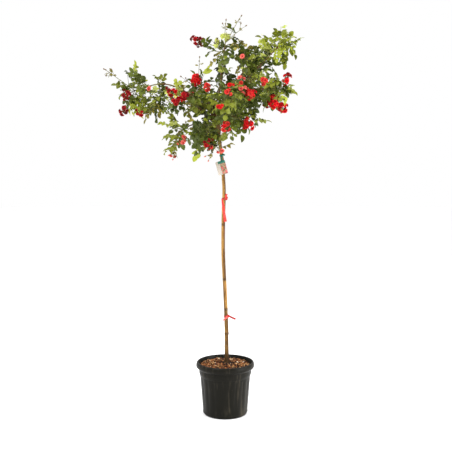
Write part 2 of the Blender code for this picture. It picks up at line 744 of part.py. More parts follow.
def fused(name, shapes, material_name):
    """One solid from overlapping shapes: the first, joined with a collection of the others."""
    made = piece(name, shapes[0], material_name, smooth=False)
    helpers = bpy.data.collections.new(name + "_shapes")
    bpy.context.scene.collection.children.link(helpers)
    for shape in shapes[1:]:
        helper = piece(name + "_shape", shape, material_name, smooth=False)
        bpy.context.scene.collection.objects.unlink(helper)
        helpers.objects.link(helper)
    union = made.modifiers.new("union", "BOOLEAN")
    union.operation = "UNION"
    union.operand_type = "COLLECTION"
    union.collection = helpers
    union.solver = "MANIFOLD"  # EXACT is slow over this many shapes
    apply_boolean(made, helpers)
    keep_largest(made.data)
    return made


# Ties and label.


def ribbon(centres, across, width, thickness):
    """A flat strip along its centres, with its width along across."""
    levels = []
    for index, centre in enumerate(centres):
        ahead = centres[min(index + 1, len(centres) - 1)]
        along = (ahead - centres[max(index - 1, 0)]).normalized()
        side = (across - along * across.dot(along)).normalized()
        out = side.cross(along) * thickness / 2
        half = side * width / 2
        levels.append([centre + half - out, centre - half - out, centre - half + out, centre + half + out])
    return rings(levels)


def band(height, width, thickness, sides=10):
    """A flat ring round the trunk, a gap clear of it."""
    centre = trunk_centre(height)
    inner = (trunk_radius(height) + GAP) / math.cos(math.pi / sides)
    points, faces = [], []
    for side in range(sides):
        angle = side * math.tau / sides
        out = Vector((math.cos(angle), math.sin(angle), 0))
        for reach, rise in ((inner, -1), (inner + thickness, -1), (inner + thickness, 1), (inner, 1)):
            points.append(centre + out * reach + UP * rise * width / 2)
    for side in range(sides):
        here = side * 4
        there = (side + 1) % sides * 4
        for corner in range(4):
            beside = (corner + 1) % 4
            faces.append((here + corner, there + corner, there + beside, here + beside))
    return points, faces


def tie(name, height, tails):
    """A tape tie: a band round the trunk, a knot in front and hanging tails."""
    centre = trunk_centre(height)
    shapes = [band(height, TAPE_WIDTH, TAPE_THICKNESS)]
    knot = centre + Vector((KNOT_RADIUS, -trunk_radius(height) - KNOT_RADIUS - 2 * GAP, 0))
    shapes.append(spindle(knot - UP * KNOT_HEIGHT / 2, UP, KNOT_HEIGHT, KNOT_RADIUS, 5, 0.5))
    for lean, length in tails:
        start = knot + Vector((0, -0.0015, 0.004))
        end = start + Vector((lean, -0.004, -length))
        bow = Vector((lean * 0.6, -0.004, 0))
        centres = curve(start, start + bow - UP * length * 0.3, end + UP * length * 0.4, end, 3)
        shapes.append(ribbon(centres, Vector((1, 0.25, 0)), TAPE_WIDTH * 0.8, TAPE_THICKNESS))
    return fused(name, shapes, "tape")


def hang_tag():
    """A plant label on a strap that loops round the top of the trunk."""
    loop = band(TAG_HANGER_HEIGHT, TAG_HANGER_WIDTH, TAG_THICKNESS)
    front = trunk_centre(TAG_HANGER_HEIGHT)
    front = front - Vector((0, trunk_radius(TAG_HANGER_HEIGHT) + 3 * GAP + TAG_THICKNESS / 2, 0))
    turn = Matrix.Rotation(TAG_TURN, 3, "Y")
    down = turn @ -UP
    across = turn @ Vector((1, 0, 0))
    hole = front - UP * TAG_STRAP + Vector((0, -0.004, 0))
    top = hole - across * TAG_HOLE
    strap = ribbon([front + UP * 0.003, hole + down * 0.004], across, TAG_HANGER_WIDTH, TAG_THICKNESS)
    card = ribbon([top, top + down * TAG_HEIGHT], across, TAG_WIDTH, TAG_THICKNESS)
    return fused("hang_tag", [card, strap, loop], "label")


def clear_scene():
    for old in list(bpy.data.objects):
        bpy.data.objects.remove(old)


def main():
    clear_scene()
    pot()
    potting_mix()
    trunk_shape = trunk()
    piece("trunk", trunk_shape, "bark")
    surface = tree_of([trunk_shape])

    canes = {}
    ends = {}
    for mass in MASSES:
        if mass.cane:
            centres, leaving = cane(mass, surface)
            radii = taper(CANE_RADIUS, CANE_TIP_RADIUS, len(centres))
            shape = tube(centres, radii, CANE_SIDES, leaving)
            canes[mass.name] = shape
            piece("bough_" + mass.name, shape, "bark")
            heading = (centres[-1] - centres[-2]).normalized()
            ends[mass.name] = (centres[-1] + heading * GAP, heading)
        else:
            centre = Vector(mass.centre)
            root = trunk_centre(min(max(mass.centre[2] + 0.01, 1.37), 1.52))
            heading = (centre - root).normalized()
            far = seat(surface, root, heading, CANE_TIP_RADIUS)
            ends[mass.name] = (root + heading * far, heading)

    growth = Growth([trunk_shape, *canes.values()])
    stems = {}
    for mass in MASSES:
        stems[mass.name], shape = stem_of(mass, *ends[mass.name], CANE_TIP_RADIUS, growth.around(mass))
        growth.add(mass, shape)
    shoots = {mass.name: grow_shoots(mass, stems[mass.name], growth) for mass in MASSES}
    twigs = {mass.name: grow_twigs(mass, stems[mass.name], growth) for mass in MASSES}
    for mass in MASSES:
        grow_leaves(mass, stems[mass.name], shoots[mass.name], twigs[mass.name], growth)
    for mass in MASSES:
        fused("foliage_" + mass.name, growth.shapes[mass.name], "foliage")

    tie("tie_upper", UPPER_TIE_HEIGHT, ((0.004, UPPER_TAIL), (0.008, 0.030)))
    tie("tie_lower", LOWER_TIE_HEIGHT, ((-0.020, LOWER_TAIL), (0.030, LOWER_TAIL * 0.8)))
    hang_tag()


if __name__ == "__main__":
    main()
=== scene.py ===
"""Dresses a potted weeping rose: a grafted standard with a loose crown, in a nursery pot.

The frame holds the plain solids. Here each is replaced by a finished piece of the same size
in the same place. Canes, stems, twigs and leaves grow by the rule that made the solids, with
the same seed, and are then carried to leaflets, petals and finer twigs.
"""

import math
import random
from dataclasses import dataclass
from functools import lru_cache

import bpy
import numpy as np
from bpy.props import FloatProperty, FloatVectorProperty, IntProperty, PointerProperty
from mathutils import Matrix, Vector, noise
from mathutils.bvhtree import BVHTree


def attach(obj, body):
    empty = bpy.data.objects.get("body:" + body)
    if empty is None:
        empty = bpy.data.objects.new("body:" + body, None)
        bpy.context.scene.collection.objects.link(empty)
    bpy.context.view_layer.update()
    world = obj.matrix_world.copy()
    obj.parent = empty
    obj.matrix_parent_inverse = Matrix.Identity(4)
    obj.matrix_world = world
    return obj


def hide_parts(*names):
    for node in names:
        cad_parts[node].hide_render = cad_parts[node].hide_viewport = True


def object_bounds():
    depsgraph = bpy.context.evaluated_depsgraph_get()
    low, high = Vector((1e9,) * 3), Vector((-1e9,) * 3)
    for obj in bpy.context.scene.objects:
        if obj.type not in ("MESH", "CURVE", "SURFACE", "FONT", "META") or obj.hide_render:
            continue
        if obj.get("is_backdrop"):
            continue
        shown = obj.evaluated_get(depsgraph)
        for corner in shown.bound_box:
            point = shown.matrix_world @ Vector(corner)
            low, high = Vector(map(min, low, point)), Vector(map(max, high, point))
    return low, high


bl_info = {
    "name": "Potted Weeping Rose",
    "version": (1, 0, 0),
    "blender": (4, 5, 0),
    "location": "View3D > Sidebar > Rose",
    "description": "Builds the finished pieces of a potted weeping rose round its frame",
    "category": "Object",
}

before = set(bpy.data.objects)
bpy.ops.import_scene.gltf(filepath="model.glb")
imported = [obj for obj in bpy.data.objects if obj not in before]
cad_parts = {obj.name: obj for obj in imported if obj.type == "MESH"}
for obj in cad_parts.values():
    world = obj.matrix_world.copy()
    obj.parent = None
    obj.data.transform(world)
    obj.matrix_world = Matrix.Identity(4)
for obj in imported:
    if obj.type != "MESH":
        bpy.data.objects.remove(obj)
CAD_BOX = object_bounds()

GAP = 0.0003  # between solids that sit together
UP = Vector((0, 0, 1))
GOLDEN_ANGLE = math.pi * (3 - math.sqrt(5))
SEED = 182

# Pot.
POT_HEIGHT = 0.272
FOOT_RADIUS = 0.106
BASE_RADIUS = 0.117
BODY_RADIUS = 0.131
BAND_RADIUS = 0.136
RIM_RADIUS = 0.1515
MOUTH_RADIUS = 0.140
POT_WALL = 0.0026
POT_FLOOR = 0.003
BAND_HEIGHTS = (0.205, 0.237)
POT_FLUTES = 20
FLUTE_FOOT = 0.025
FLUTE_TOP = BAND_HEIGHTS[0] - 0.010
POT_ROUND = 200  # faces round the pot
POT_SHARP = math.radians(26)  # from which an edge of the pot is sharp
DRAIN_HOLES = 5
DRAIN_FIRST = math.radians(25)  # from the front, towards +X
DRAIN_SIZE = (0.016, 0.030, 0.009)

# Bark mulch.
MULCH_EDGE = 0.251
MULCH_CROWN = 0.264

# Trunk stations from soil level to the graft: height, lean to +X, radius.
TRUNK_STATIONS = (
    (MULCH_CROWN + GAP, 0.008, 0.0160),
    (0.285, 0.008, 0.0115),
    (0.400, 0.007, 0.0100),
    (0.418, 0.007, 0.0118),
    (0.436, 0.007, 0.0100),
    (0.640, -0.001, 0.0097),
    (0.830, -0.010, 0.0094),
    (1.000, -0.010, 0.0091),
    (1.160, -0.006, 0.0088),
    (1.290, -0.014, 0.0086),
    (1.370, -0.023, 0.0086),
    (1.450, -0.035, 0.0110),
    (1.500, -0.043, 0.0190),
    (1.535, -0.049, 0.0225),
    (1.570, -0.056, 0.0205),
    (1.590, -0.061, 0.0120),
)
TRUNK_SIDES = 12
FLARE_LOBES = 4
FLARE_DEPTH = 0.14  # of the radius
FLARE_HEIGHT = 0.290
GRAFT_FOOT = 1.492
GRAFT_TOP = 1.578
TRUNK_ROUND = 44  # faces round the finished trunk
TRUNK_RING = 0.003  # height of one ring of them

# Canes, stems, twigs and the solids' leaves, as in the frame.
CANE_SIDES = 5
CANE_STEPS = 4
CANE_RADIUS = 0.0048
CANE_TIP_RADIUS = 0.0038
CANE_ENTRY = 0.72
STEM_STEPS = 3
STEM_TIP_RADIUS = 0.0032
TWIG_RADIUS = 0.0018
TWIG_TIP_RADIUS = 0.0017
TWIG_REACH = 0.68
TWIGS_PER_MASS = 7
LEAF_LENGTH = 0.070
LEAF_WIDTH = 0.052
LEAF_WAIST = 0.52
LEAF_FOLD = 0.004
LEAF_SINK = 0.0004
LEAF_SPACING = 0.014
LEAF_APART = 0.004
LEAVES_PER_MASS = 20
BLOOM_RADIUS = 0.0160
BLOOM_LENGTH = 0.034
BLOOM_WAIST = 0.62
BLOOM_SPACING = 0.0075
BUD_RADIUS = 0.0048
BUD_LENGTH = 0.046
BUD_WAIST = 0.84
# Each kind of shoot: how far it ends short of its aim, and the share of it that bears leaves.
SHOOT_KINDS = (("blooms", 0.006, 0.8), ("buds", 0.024, 0.45), ("tufts", 0.032, 1.0))
# How blooms and buds stand on a shoot: the tilt in degrees of the first and of the others, how
# far the first is from the tip, their spacing, and the spindle's length, radius, sides and waist.
HEADS = {
    "blooms": (8, 65, 0.003, BLOOM_SPACING, (BLOOM_LENGTH, BLOOM_RADIUS, 4, BLOOM_WAIST)),
    "buds": (5, 38, 0.002, 0.007, (BUD_LENGTH, BUD_RADIUS, 3, BUD_WAIST)),
}
BRACT_SIZE = 0.36  # of the small leaf under a bud
TWIG_TRIES = 8
LEAF_TRIES = 6
SPACE_EDGE = 1.12
SPACE_MARGIN = 0.02
SHOOT_ROOM = 0.070
CLEARANCE = 0.0012


@dataclass(frozen=True)
class Mass:
    """One mass of foliage. Shoots are (x, y, z, count) in units of its reach from its centre.
    tones are its leaf colours, commonest first, and tints its bloom colours, a word a shoot."""

    name: str
    centre: tuple
    reach: tuple
    cane: tuple = None  # its start up the graft, 0 to 1, bearing in degrees, lift and sway
    blooms: tuple = ()
    buds: tuple = ()
    tufts: tuple = ()
    tones: str = "mid dark bright"
    tints: str = "scarlet"
    bud_tint: str = "russet"
    fullness: float = 1.0  # of its fine twigs


MASSES = (
    Mass("left_outer", (-0.452, -0.020, 1.662), (0.086, 0.100, 0.112), (0.62, 190, 0.8, 0.03),
         blooms=((-0.5, -0.9, -0.3, 4), (-0.7, -0.6, -1.05, 5), (0.4, -0.8, -1.1, 2)),
         buds=((-1.75, 0.0, 0.95, 5),), tufts=((-0.25, 0.0, 0.9, 2),),
         tones="bright mid dark", tints="crimson maroon crimson", fullness=0.7),
    Mass("left_middle", (-0.345, 0.030, 1.636), (0.062, 0.090, 0.100), (0.42, 172, 0.45, -0.02),
         blooms=((-0.5, -0.9, 0.3, 1),), tufts=((0.3, -0.3, -0.9, 2), (-0.8, -0.6, -0.9, 1)),
         tones="mid olive dark", tints="salmon", fullness=0.8),
    Mass("left_inner", (-0.240, -0.050, 1.620), (0.065, 0.090, 0.068), (0.22, 194, 0.35, 0),
         blooms=((-0.45, -1.0, 0.35, 3), (-0.05, -1.1, -0.35, 3), (0.6, -0.9, 0.1, 3)),
         tufts=((0.45, 0.0, -1.25, 2),),
         tones="dark olive mid", tints="crimson crimson crimson", fullness=0.55),
    Mass("lower_left", (-0.230, -0.080, 1.450), (0.074, 0.080, 0.062), (0.02, 205, -0.1, -0.02),
         blooms=((0.3, -0.8, -0.8, 3), (-0.5, -0.3, -1.75, 1)), buds=((-0.4, -0.2, -2.0, 2),),
         tufts=((-0.9, 0.2, 0.6, 2), (0.1, 0.0, 1.1, 2)),
         tones="mid olive bright", tints="coral salmon", bud_tint="salmon", fullness=0.4),
    Mass("front_low", (-0.105, -0.150, 1.445), (0.078, 0.120, 0.080),
         blooms=((0.2, -0.6, -0.8, 3),), tufts=((-0.3, -0.4, -1.2, 2),),
         tones="deep dark bright", tints="maroon", fullness=0.8),
    Mass("neck", (-0.050, -0.070, 1.385), (0.045, 0.052, 0.052),
         blooms=((0.7, -0.6, -0.5, 1), (-0.35, -0.8, -0.2, 1)), buds=((-0.7, -0.3, -1.3, 2),),
         tones="dark mid olive", tints="salmon coral", bud_tint="salmon"),
    Mass("centre_left", (-0.132, 0.000, 1.652), (0.072, 0.120, 0.096), (0.84, 176, 1, 0),
         blooms=((-0.25, -1.0, 0.65, 6), (0.6, -1.0, 0.2, 3)),
         buds=((0.0, 0.0, 1.8, 2), (-1.1, -0.5, 0.75, 2)),
         tufts=((0.4, -0.3, 1.2, 1), (1.0, -0.2, 0.75, 2)),
         tones="mid dark bright", tints="scarlet coral", fullness=0.25),
    Mass("centre_front", (0.010, -0.240, 1.600), (0.074, 0.120, 0.078), (0.35, 282, 0.5, 0),
         blooms=((-0.4, -1.0, -0.7, 1), (0.15, -0.9, 0.5, 1), (0.0, -1.0, 0.1, 1)),
         tones="mid dark bright", tints="scarlet scarlet salmon", fullness=0.5),
    Mass("centre_right", (0.120, -0.120, 1.625), (0.068, 0.120, 0.076), (0.35, 325, 0.55, 0),
         blooms=((-0.7, -0.9, 0.85, 3), (-0.6, -1.0, 0.2, 3), (0.0, -1.0, -0.1, 6)),
         tones="dark mid deep", tints="salmon salmon scarlet", fullness=0.8),
    Mass("right", (0.245, -0.030, 1.665), (0.078, 0.120, 0.080), (0.5, 352, 0.7, -0.02),
         blooms=((-0.75, -0.9, 0.4, 2), (0.90, -0.4, 0.75, 4), (-0.1, -0.9, -1.15, 8),
                 (0.55, -0.6, -1.35, 5)),
         tufts=((1.2, 0.0, 0.4, 1),),
         tones="bright mid dark", tints="coral scarlet scarlet scarlet", fullness=0.75),
    Mass("lower_right", (0.060, -0.180, 1.508), (0.092, 0.100, 0.062), (0.05, 308, 0.15, 0),
         blooms=((-0.7, -0.7, -0.9, 5), (0.7, -0.5, -0.7, 5)), tufts=((1.1, 0.0, -0.3, 2),),
         tones="mid dark bright", tints="coral scarlet", fullness=0.8),
    Mass("upper_right", (0.293, 0.050, 1.920), (0.070, 0.110, 0.100), (0.72, 10, 1.1, 0.03),
         tufts=((-0.15, 0.0, 0.6, 2), (1.1, 0.0, -0.05, 2), (-1.1, 0.0, 0.3, 2)),
         tones="bright yellow mid", tints="scarlet", fullness=0.8),
    Mass("upper_middle", (0.130, -0.020, 1.810), (0.064, 0.110, 0.084), (0.78, 342, 1.2, -0.02),
         blooms=((-0.65, -0.9, 0.05, 1),), tufts=((0.35, 0.0, 0.9, 1),),
         tones="dark olive mid", tints="salmon", fullness=0.7),
    Mass("upper_inner", (0.220, 0.120, 1.865), (0.045, 0.100, 0.076), (0.55, 30, 1, 0.03),
         tufts=((0.8, -0.4, -1.0, 1), (-0.7, -0.4, 0.85, 1)),
         tones="dark deep olive", tints="scarlet", fullness=0.8),
    Mass("top_spray", (0.002, 0.000, 1.905), (0.086, 0.090, 0.076), (1, 0, 2.4, 0),
         blooms=((-1.9, -0.1, 0.25, 6),),
         buds=((0.85, 0.0, 1.7, 2), (0.0, 0.0, 1.4, 3), (1.1, 0.0, 1.1, 2)),
         tufts=((0.85, 0.0, 0.8, 2), (1.2, 0.0, 0.2, 1), (0.8, -0.1, -0.8, 2),
                (-0.8, -0.2, -1.1, 1), (-1.2, 0.0, -0.4, 1)),
         tones="olive dark pale", tints="maroon", fullness=0.35),
    Mass("mid_upper", (-0.010, 0.050, 1.762), (0.064, 0.090, 0.056), (0.90, 100, 1.6, 0),
         tones="dark deep mid", tints="scarlet", fullness=0.5),
    Mass("back_centre", (0.054, 0.200, 1.657), (0.082, 0.130, 0.076), (0.48, 66, 0.6, 0),
         blooms=((0.2, 0.9, 0.4, 4), (-0.5, 0.4, 0.95, 2)),
         tones="dark mid deep", tints="scarlet salmon", fullness=0.8),
    Mass("back_low", (-0.097, 0.165, 1.483), (0.070, 0.110, 0.070),
         blooms=((0.3, 0.8, -0.5, 4), (-0.7, 0.5, -0.6, 2)),
         tones="mid dark bright", tints="crimson scarlet"),
    Mass("back_right", (0.214, 0.230, 1.698), (0.072, 0.110, 0.078), (0.3, 38, 0.7, 0.02),
         blooms=((0.6, 0.7, 0.3, 4), (0.2, 0.6, -0.9, 5)),
         tones="mid bright dark", tints="scarlet crimson"),
    Mass("back_left", (-0.154, 0.260, 1.667), (0.067, 0.120, 0.078), (0.55, 112, 0.75, 0),
         blooms=((-0.5, 0.6, 0.5, 4), (0.0, 0.8, -0.7, 3)),
         tones="mid dark bright", tints="coral scarlet", fullness=0.65),
    Mass("back_upper", (0.160, 0.230, 1.800), (0.072, 0.100, 0.076), (0.78, 50, 1.2, 0),
         blooms=((0.3, 0.8, 0.4, 2),),
         tones="olive dark yellow", tints="salmon"),
    Mass("far_back", (0.030, 0.400, 1.640), (0.080, 0.090, 0.080), (0.28, 88, 0.75, 0),
         blooms=((0.4, 0.8, 0.0, 4), (-0.6, 0.6, -0.6, 3)),
         tones="mid bright dark", tints="scarlet coral"),
)

# Tape ties and label.
TAPE_WIDTH = 0.013
KNOT_RADIUS = 0.005
UPPER_TIE_HEIGHT = 1.118
LOWER_TIE_HEIGHT = 0.508
TAG_WIDTH = 0.050
TAG_HEIGHT = 0.070
TAG_HOLE = 0.008  # from the middle of the card's top edge, so it hangs askew
TAG_THICKNESS = 0.0012
TAG_TURN = math.radians(-15)
TAG_HANGER_HEIGHT = 1.338
TAG_HANGER_WIDTH = 0.009
TAG_STRAP = 0.026


# Colours a user may change, and how large the pieces are.


def colour_setting(name, description, default):
    """A colour, given as it looks on a screen, from 0 to 1."""
    return FloatVectorProperty(
        name=name, description=description, default=default, subtype="COLOR_GAMMA", min=0, max=1
    )


def length_setting(name, description, default):
    return FloatProperty(
        name=name, description=description, default=default, unit="LENGTH", min=0, precision=4
    )


def number_setting(name, description, default):
    return FloatProperty(name=name, description=description, default=default)


def count_setting(name, description, default):
    return IntProperty(name=name, description=description, default=default, min=0)


class PotSettings(bpy.types.PropertyGroup):
    flute_depth: length_setting("Flute Depth", "How far a flute is set into the wall", 0.0019)
    plastic: colour_setting("Plastic", "Clean plastic", (0.066, 0.062, 0.042))
    dust: colour_setting("Dust", "Dry dust on the plastic", (0.34, 0.31, 0.26))


class MulchSettings(bpy.types.PropertyGroup):
    chips: count_setting("Chips", "Bark chips on the bed", 2800)
    chip_length: length_setting("Chip Length", "Length of the largest chips", 0.018)
    soil: colour_setting("Soil", "Damp mix between the chips", (0.13, 0.075, 0.045))


class StemSettings(bpy.types.PropertyGroup):
    relief: length_setting("Bark Relief", "Depth of the furrows in the bark", 0.0006)
    # Tan is the bark colour with painted light on the trunk's lit side; brown is the one with painted
    # shade on its other side.
    tan: colour_setting("Tan Bark", "Bark on the sunny side", (0.703, 0.53, 0.273))
    brown: colour_setting("Brown Bark", "Bark on the shaded side", (0.35, 0.235, 0.12))
    cane: colour_setting("Young Bark", "Bark of the canes", (0.42, 0.42, 0.20))


class FoliageSettings(bpy.types.PropertyGroup):
    leaflet_length: length_setting("Leaflet Length", "Length of a common leaflet", 0.0315)
    leaf_droop: number_setting("Leaf Droop", "How far a leaf's end hangs, in its lengths", 0.22)
    fine_twigs: count_setting("Fine Twigs", "Finer twigs in a mass of common size", 12)


class BloomSettings(bpy.types.PropertyGroup):
    radius: length_setting("Bloom Radius", "Radius of an open bloom", 0.0128)
    bud_length: length_setting("Bud Length", "Length of a closed bud", 0.012)


class TrimSettings(bpy.types.PropertyGroup):
    tape: colour_setting("Tape", "Tie tape", (0.87, 0.18, 0.15))
    strap: colour_setting("Strap", "Label strap and the label's upper edge", (0.16, 0.45, 0.38))
    card: colour_setting("Card", "Plain half of the label", (0.73, 0.69, 0.64))


class StageSettings(bpy.types.PropertyGroup):
    floor: colour_setting("Floor", "Floor and backdrop", (0.99, 0.99, 0.99))
    key_power: number_setting("Key Light", "Power of the main light in watts", 140)
    sky: number_setting("Sky", "Strength of the even light all round", 1.0)


SETTINGS = {
    "rose_pot": PotSettings,
    "rose_mulch": MulchSettings,
    "rose_stem": StemSettings,
    "rose_foliage": FoliageSettings,
    "rose_bloom": BloomSettings,
    "rose_trim": TrimSettings,
    "rose_stage": StageSettings,
}


def settings(name):
    return getattr(bpy.context.scene, "rose_" + name)


# Finishes.


def linear(colour):
    """A screen colour as the linear one that shaders take."""
    return tuple(c / 12.92 if c <= 0.04045 else ((c + 0.055) / 1.055) ** 2.4 for c in colour)


def opaque(colour):
    """A colour with its alpha. A link stays as it is."""
    return (*colour, 1) if isinstance(colour, tuple) else colour


class Value:
    """A shader socket that takes part in sums as a number does."""

    def __init__(self, tree, socket):
        self.tree = tree
        self.socket = socket

    def sum(self, operation, first, second=None, clamp=False):
        node = self.tree.nodes.new("ShaderNodeMath")
        node.operation = operation
        node.use_clamp = clamp
        for socket, value in zip(node.inputs, (first, second)):
            if isinstance(value, Value):
                self.tree.links.new(value.socket, socket)
            elif value is not None:
                socket.default_value = value
        return Value(self.tree, node.outputs[0])

    def __add__(self, other):
        return self.sum("ADD", self, other)

    def __radd__(self, other):
        return self.sum("ADD", other, self)

    def __sub__(self, other):
        return self.sum("SUBTRACT", self, other)

    def __rsub__(self, other):
        return self.sum("SUBTRACT", other, self)

    def __mul__(self, other):
        return self.sum("MULTIPLY", self, other)

    def __rmul__(self, other):
        return self.sum("MULTIPLY", other, self)

    def __abs__(self):
        return self.sum("ABSOLUTE", self)

    def sine(self):
        return self.sum("SINE", self)

    def clamped(self):
        return self.sum("ADD", self, 0.0, clamp=True)


class Finish:
    """A material in the making, with one method for any node."""

    def __init__(self, name, roughness=0.6, **plain):
        self.material = bpy.data.materials.new(name)
        self.material.use_nodes = True
        self.tree = self.material.node_tree
        self.shader = self.tree.nodes["Principled BSDF"]
        self.shader.inputs["Roughness"].default_value = roughness
        for name, value in plain.items():
            label = name.replace("_", " ").title().replace("Ior", "IOR")
            self.shader.inputs[label].default_value = value

    def put(self, socket, value):
        """Links or sets one socket."""
        if isinstance(value, Value):
            self.tree.links.new(value.socket, socket)
        else:
            socket.default_value = value

    def node(self, kind, setup=None, sockets=None, output=0):
        """A node of any type: its own settings first, then its sockets' values or links."""
        node = self.tree.nodes.new(kind)
        for name, value in (setup or {}).items():
            setattr(node, name, value)
        for name, value in (sockets or {}).items():
            self.put(node.inputs[name], value)
        return Value(self.tree, node.outputs[output])

    def place(self, stretch=(1, 1, 1)):
        """Where a point lies on the piece in metres, with each axis stretched."""
        where = self.node("ShaderNodeTexCoord", output="Object")
        return self.node("ShaderNodeMapping", sockets={"Vector": where, "Scale": stretch})

    def axis(self, vector, name):
        """One number of a vector: its X, Y or Z."""
        return self.node("ShaderNodeSeparateXYZ", sockets={"Vector": vector}, output=name)

    def noise(self, scale, stretch=(1, 1, 1), detail=3.0, roughness=0.5):
        sockets = {"Vector": self.place(stretch), "Scale": scale}
        sockets.update({"Detail": detail, "Roughness": roughness})
        return self.node("ShaderNodeTexNoise", sockets=sockets)

    def step(self, value, low, high):
        """0 below low, 1 above high, and smooth between."""
        setup = {"interpolation_type": "SMOOTHSTEP"}
        sockets = {"Value": value, "From Min": low, "From Max": high}
        return self.node("ShaderNodeMapRange", setup, sockets)

    def mix(self, factor, first, second):
        """The first colour where factor is 0 and the second where it is 1."""
        sockets = {0: factor, 6: opaque(first), 7: opaque(second)}
        return self.node("ShaderNodeMix", {"data_type": "RGBA"}, sockets, output=2)

    def bump(self, height, strength, distance):
        bumped = self.node(
            "ShaderNodeBump", sockets={"Height": height, "Strength": strength, "Distance": distance}
        )
        self.put(self.shader.inputs["Normal"], bumped)

    def colour(self, value):
        self.put(self.shader.inputs["Base Color"], opaque(value))

    def rough(self, value):
        self.put(self.shader.inputs["Roughness"], value)


def plastic_finish():
    """Moulded charcoal plastic with dust, scuffs and a fine grain; upward faces and vertical streaks
    are lighter, with dust and a painted highlight.
    """
    own = settings("pot")
    made = Finish("pot_charcoal_plastic", specular_ior_level=0.09)
    upward = made.axis(made.node("ShaderNodeNewGeometry", output="Normal"), "Z")
    height = made.axis(made.place(), "Z")
    cloudy = made.noise(14.0, (1, 1, 0.35), 5.0, 0.62)
    streaks = made.noise(75.0, (1, 1, 0.05), 2.0, 0.5)
    low = 1 - made.step(height, 0.0, 0.07)
    # Lighter on upward faces such as the rim and ledges: dust there, and a painted highlight.
    dust = made.step(cloudy, 0.50, 0.80) * 0.06 + made.step(upward, 0.4, 0.95) * 0.05
    dust = dust + low * made.step(cloudy, 0.50, 0.66) * 0.22
    # Pale vertical streaks, which the bump raises: dust, and a painted highlight.
    dust = dust + made.step(streaks, 0.52, 0.72) * made.step(cloudy, 0.40, 0.60) * 0.30
    specks = made.step(made.noise(240.0, detail=2.0), 0.70, 0.76) * made.step(cloudy, 0.48, 0.62)
    dust = (dust + specks * 0.7).clamped()
    made.colour(made.mix(dust, linear(own.plastic), linear(own.dust)))
    made.rough(0.34 + dust * 0.45 + made.noise(90.0, detail=2.0) * 0.10)
    made.bump(made.noise(900.0, detail=2.0) + streaks * 1.5, 0.25, 0.0004)
    return made.material


def soil_finish():
    own = settings("mulch")
    made = Finish("damp_mix", roughness=0.95, specular_ior_level=0.15)
    dark = tuple(c * 0.35 for c in linear(own.soil))
    made.colour(made.mix(made.step(made.noise(160.0, detail=4.0), 0.35, 0.70), dark, linear(own.soil)))
    made.bump(made.noise(320.0, detail=5.0), 0.9, 0.002)
    return made.material


# Each tone of bark chip: its name, its colour and its share.
CHIP_TONES = (
    ("chip_red_brown", (0.50, 0.28, 0.16), 7),
    ("chip_brown", (0.40, 0.24, 0.14), 7),
    ("chip_orange", (0.70, 0.45, 0.25), 8),
    ("chip_tan", (0.80, 0.61, 0.40), 4),
    ("chip_dark", (0.14, 0.08, 0.05), 12),
    ("chip_pale", (0.93, 0.86, 0.74), 1),
)
FOOT_SHADOW_TONE = 4  # the chips round the trunk's foot, in the dark tone as painted shadow


def chip_finish(name, colour):
    """Torn bark: fibres along the grain, with painted shade in the furrows."""
    made = Finish(name, roughness=0.88, specular_ior_level=0.20)
    grain = made.noise(420.0, (1, 0.25, 1), 3.0, 0.6)
    dark = tuple(c * 0.38 for c in linear(colour))
    # The darker colour is painted shade in the furrows, where the bump sinks.
    made.colour(made.mix(made.step(grain, 0.36, 0.62), dark, linear(colour)))
    made.bump(grain, 0.5, 0.0008)
    return made.material


DARK_KNOTS = (0.418, 0.545, 0.702, 0.985)  # heights on the trunk


def bark_finish():
    """Trunk bark: tan with painted light on one side and brown with painted shade on the other,
    furrowed, and mottled near the ground.
    """
    own = settings("stem")
    made = Finish("trunk_bark", specular_ior_level=0.12)
    side = made.axis(made.node("ShaderNodeNewGeometry", output="Normal"), "X")
    height = made.axis(made.place(), "Z")
    patches = made.noise(16.0, (1, 1, 0.30), 4.0, 0.6)
    fibres = made.noise(340.0, (1, 1, 0.05), 3.0, 0.6)
    # Painted light and shade by the normal's X: brown painted shade on the +X side, tan painted light
    # on the other. In a band partway up, the two swap sides.
    ragged = height + (patches - 0.5) * 0.20
    light_swap_band = made.step(ragged, 0.45, 0.57) - made.step(ragged, 0.62, 0.80)
    sunless = side * (1 - light_swap_band * 1.5)
    shaded = made.step(sunless * 0.42 + (patches - 0.5) * 1.9, -0.22, 0.28)
    base = made.mix(shaded, linear(own.tan), linear(own.brown))
    # Reddish patches only where the painted shade lies.
    red = made.step(made.noise(9.0, (1, 1, 0.4), 2.0), 0.52, 0.66) * shaded * 0.6
    base = made.mix(red, base, linear((0.40, 0.20, 0.12)))
    # Painted shade in the bark's furrows, where the bump sinks.
    furrow = 1 - made.step(fibres, 0.38, 0.54)
    base = made.mix(furrow * 0.45, base, linear((0.25, 0.17, 0.11)))
    lowest = 1 - made.step(height, 0.44, 0.66)
    mottled = made.step(made.noise(46.0, (1, 1, 0.5), 3.0, 0.6), 0.42, 0.58)
    base = made.mix(lowest * 0.55, base, linear((0.38, 0.27, 0.13)))
    base = made.mix(lowest * mottled * 0.75, base, linear((0.25, 0.17, 0.09)))
    for knot in DARK_KNOTS:
        above_foot = made.step(height, knot - 0.012, knot - 0.003)
        band = above_foot - made.step(height, knot + 0.003, knot + 0.010)
        broken = band * made.step(patches, 0.36, 0.54)
        base = made.mix(broken * 0.75, base, linear((0.20, 0.13, 0.08)))
    specks = made.step(made.noise(260.0, (1, 1, 2.2), 1.0), 0.66, 0.74)
    base = made.mix(specks * 0.50, base, linear((0.80, 0.72, 0.56)))
    # Painted shade on the trunk's head, under and inside the crown.
    head = made.step(height, 1.36, 1.46)
    base = made.mix(head * 0.75, base, linear((0.24, 0.17, 0.10)))
    foot = 1 - made.step(height, 0.285, 0.370)
    made.colour(made.mix(foot * 0.85, base, linear((0.16, 0.10, 0.05))))
    made.rough(0.62 + fibres * 0.25)
    made.bump(fibres * 1.2 + patches * 2.0 + specks * 0.6, 0.6, 0.0012)
    return made.material


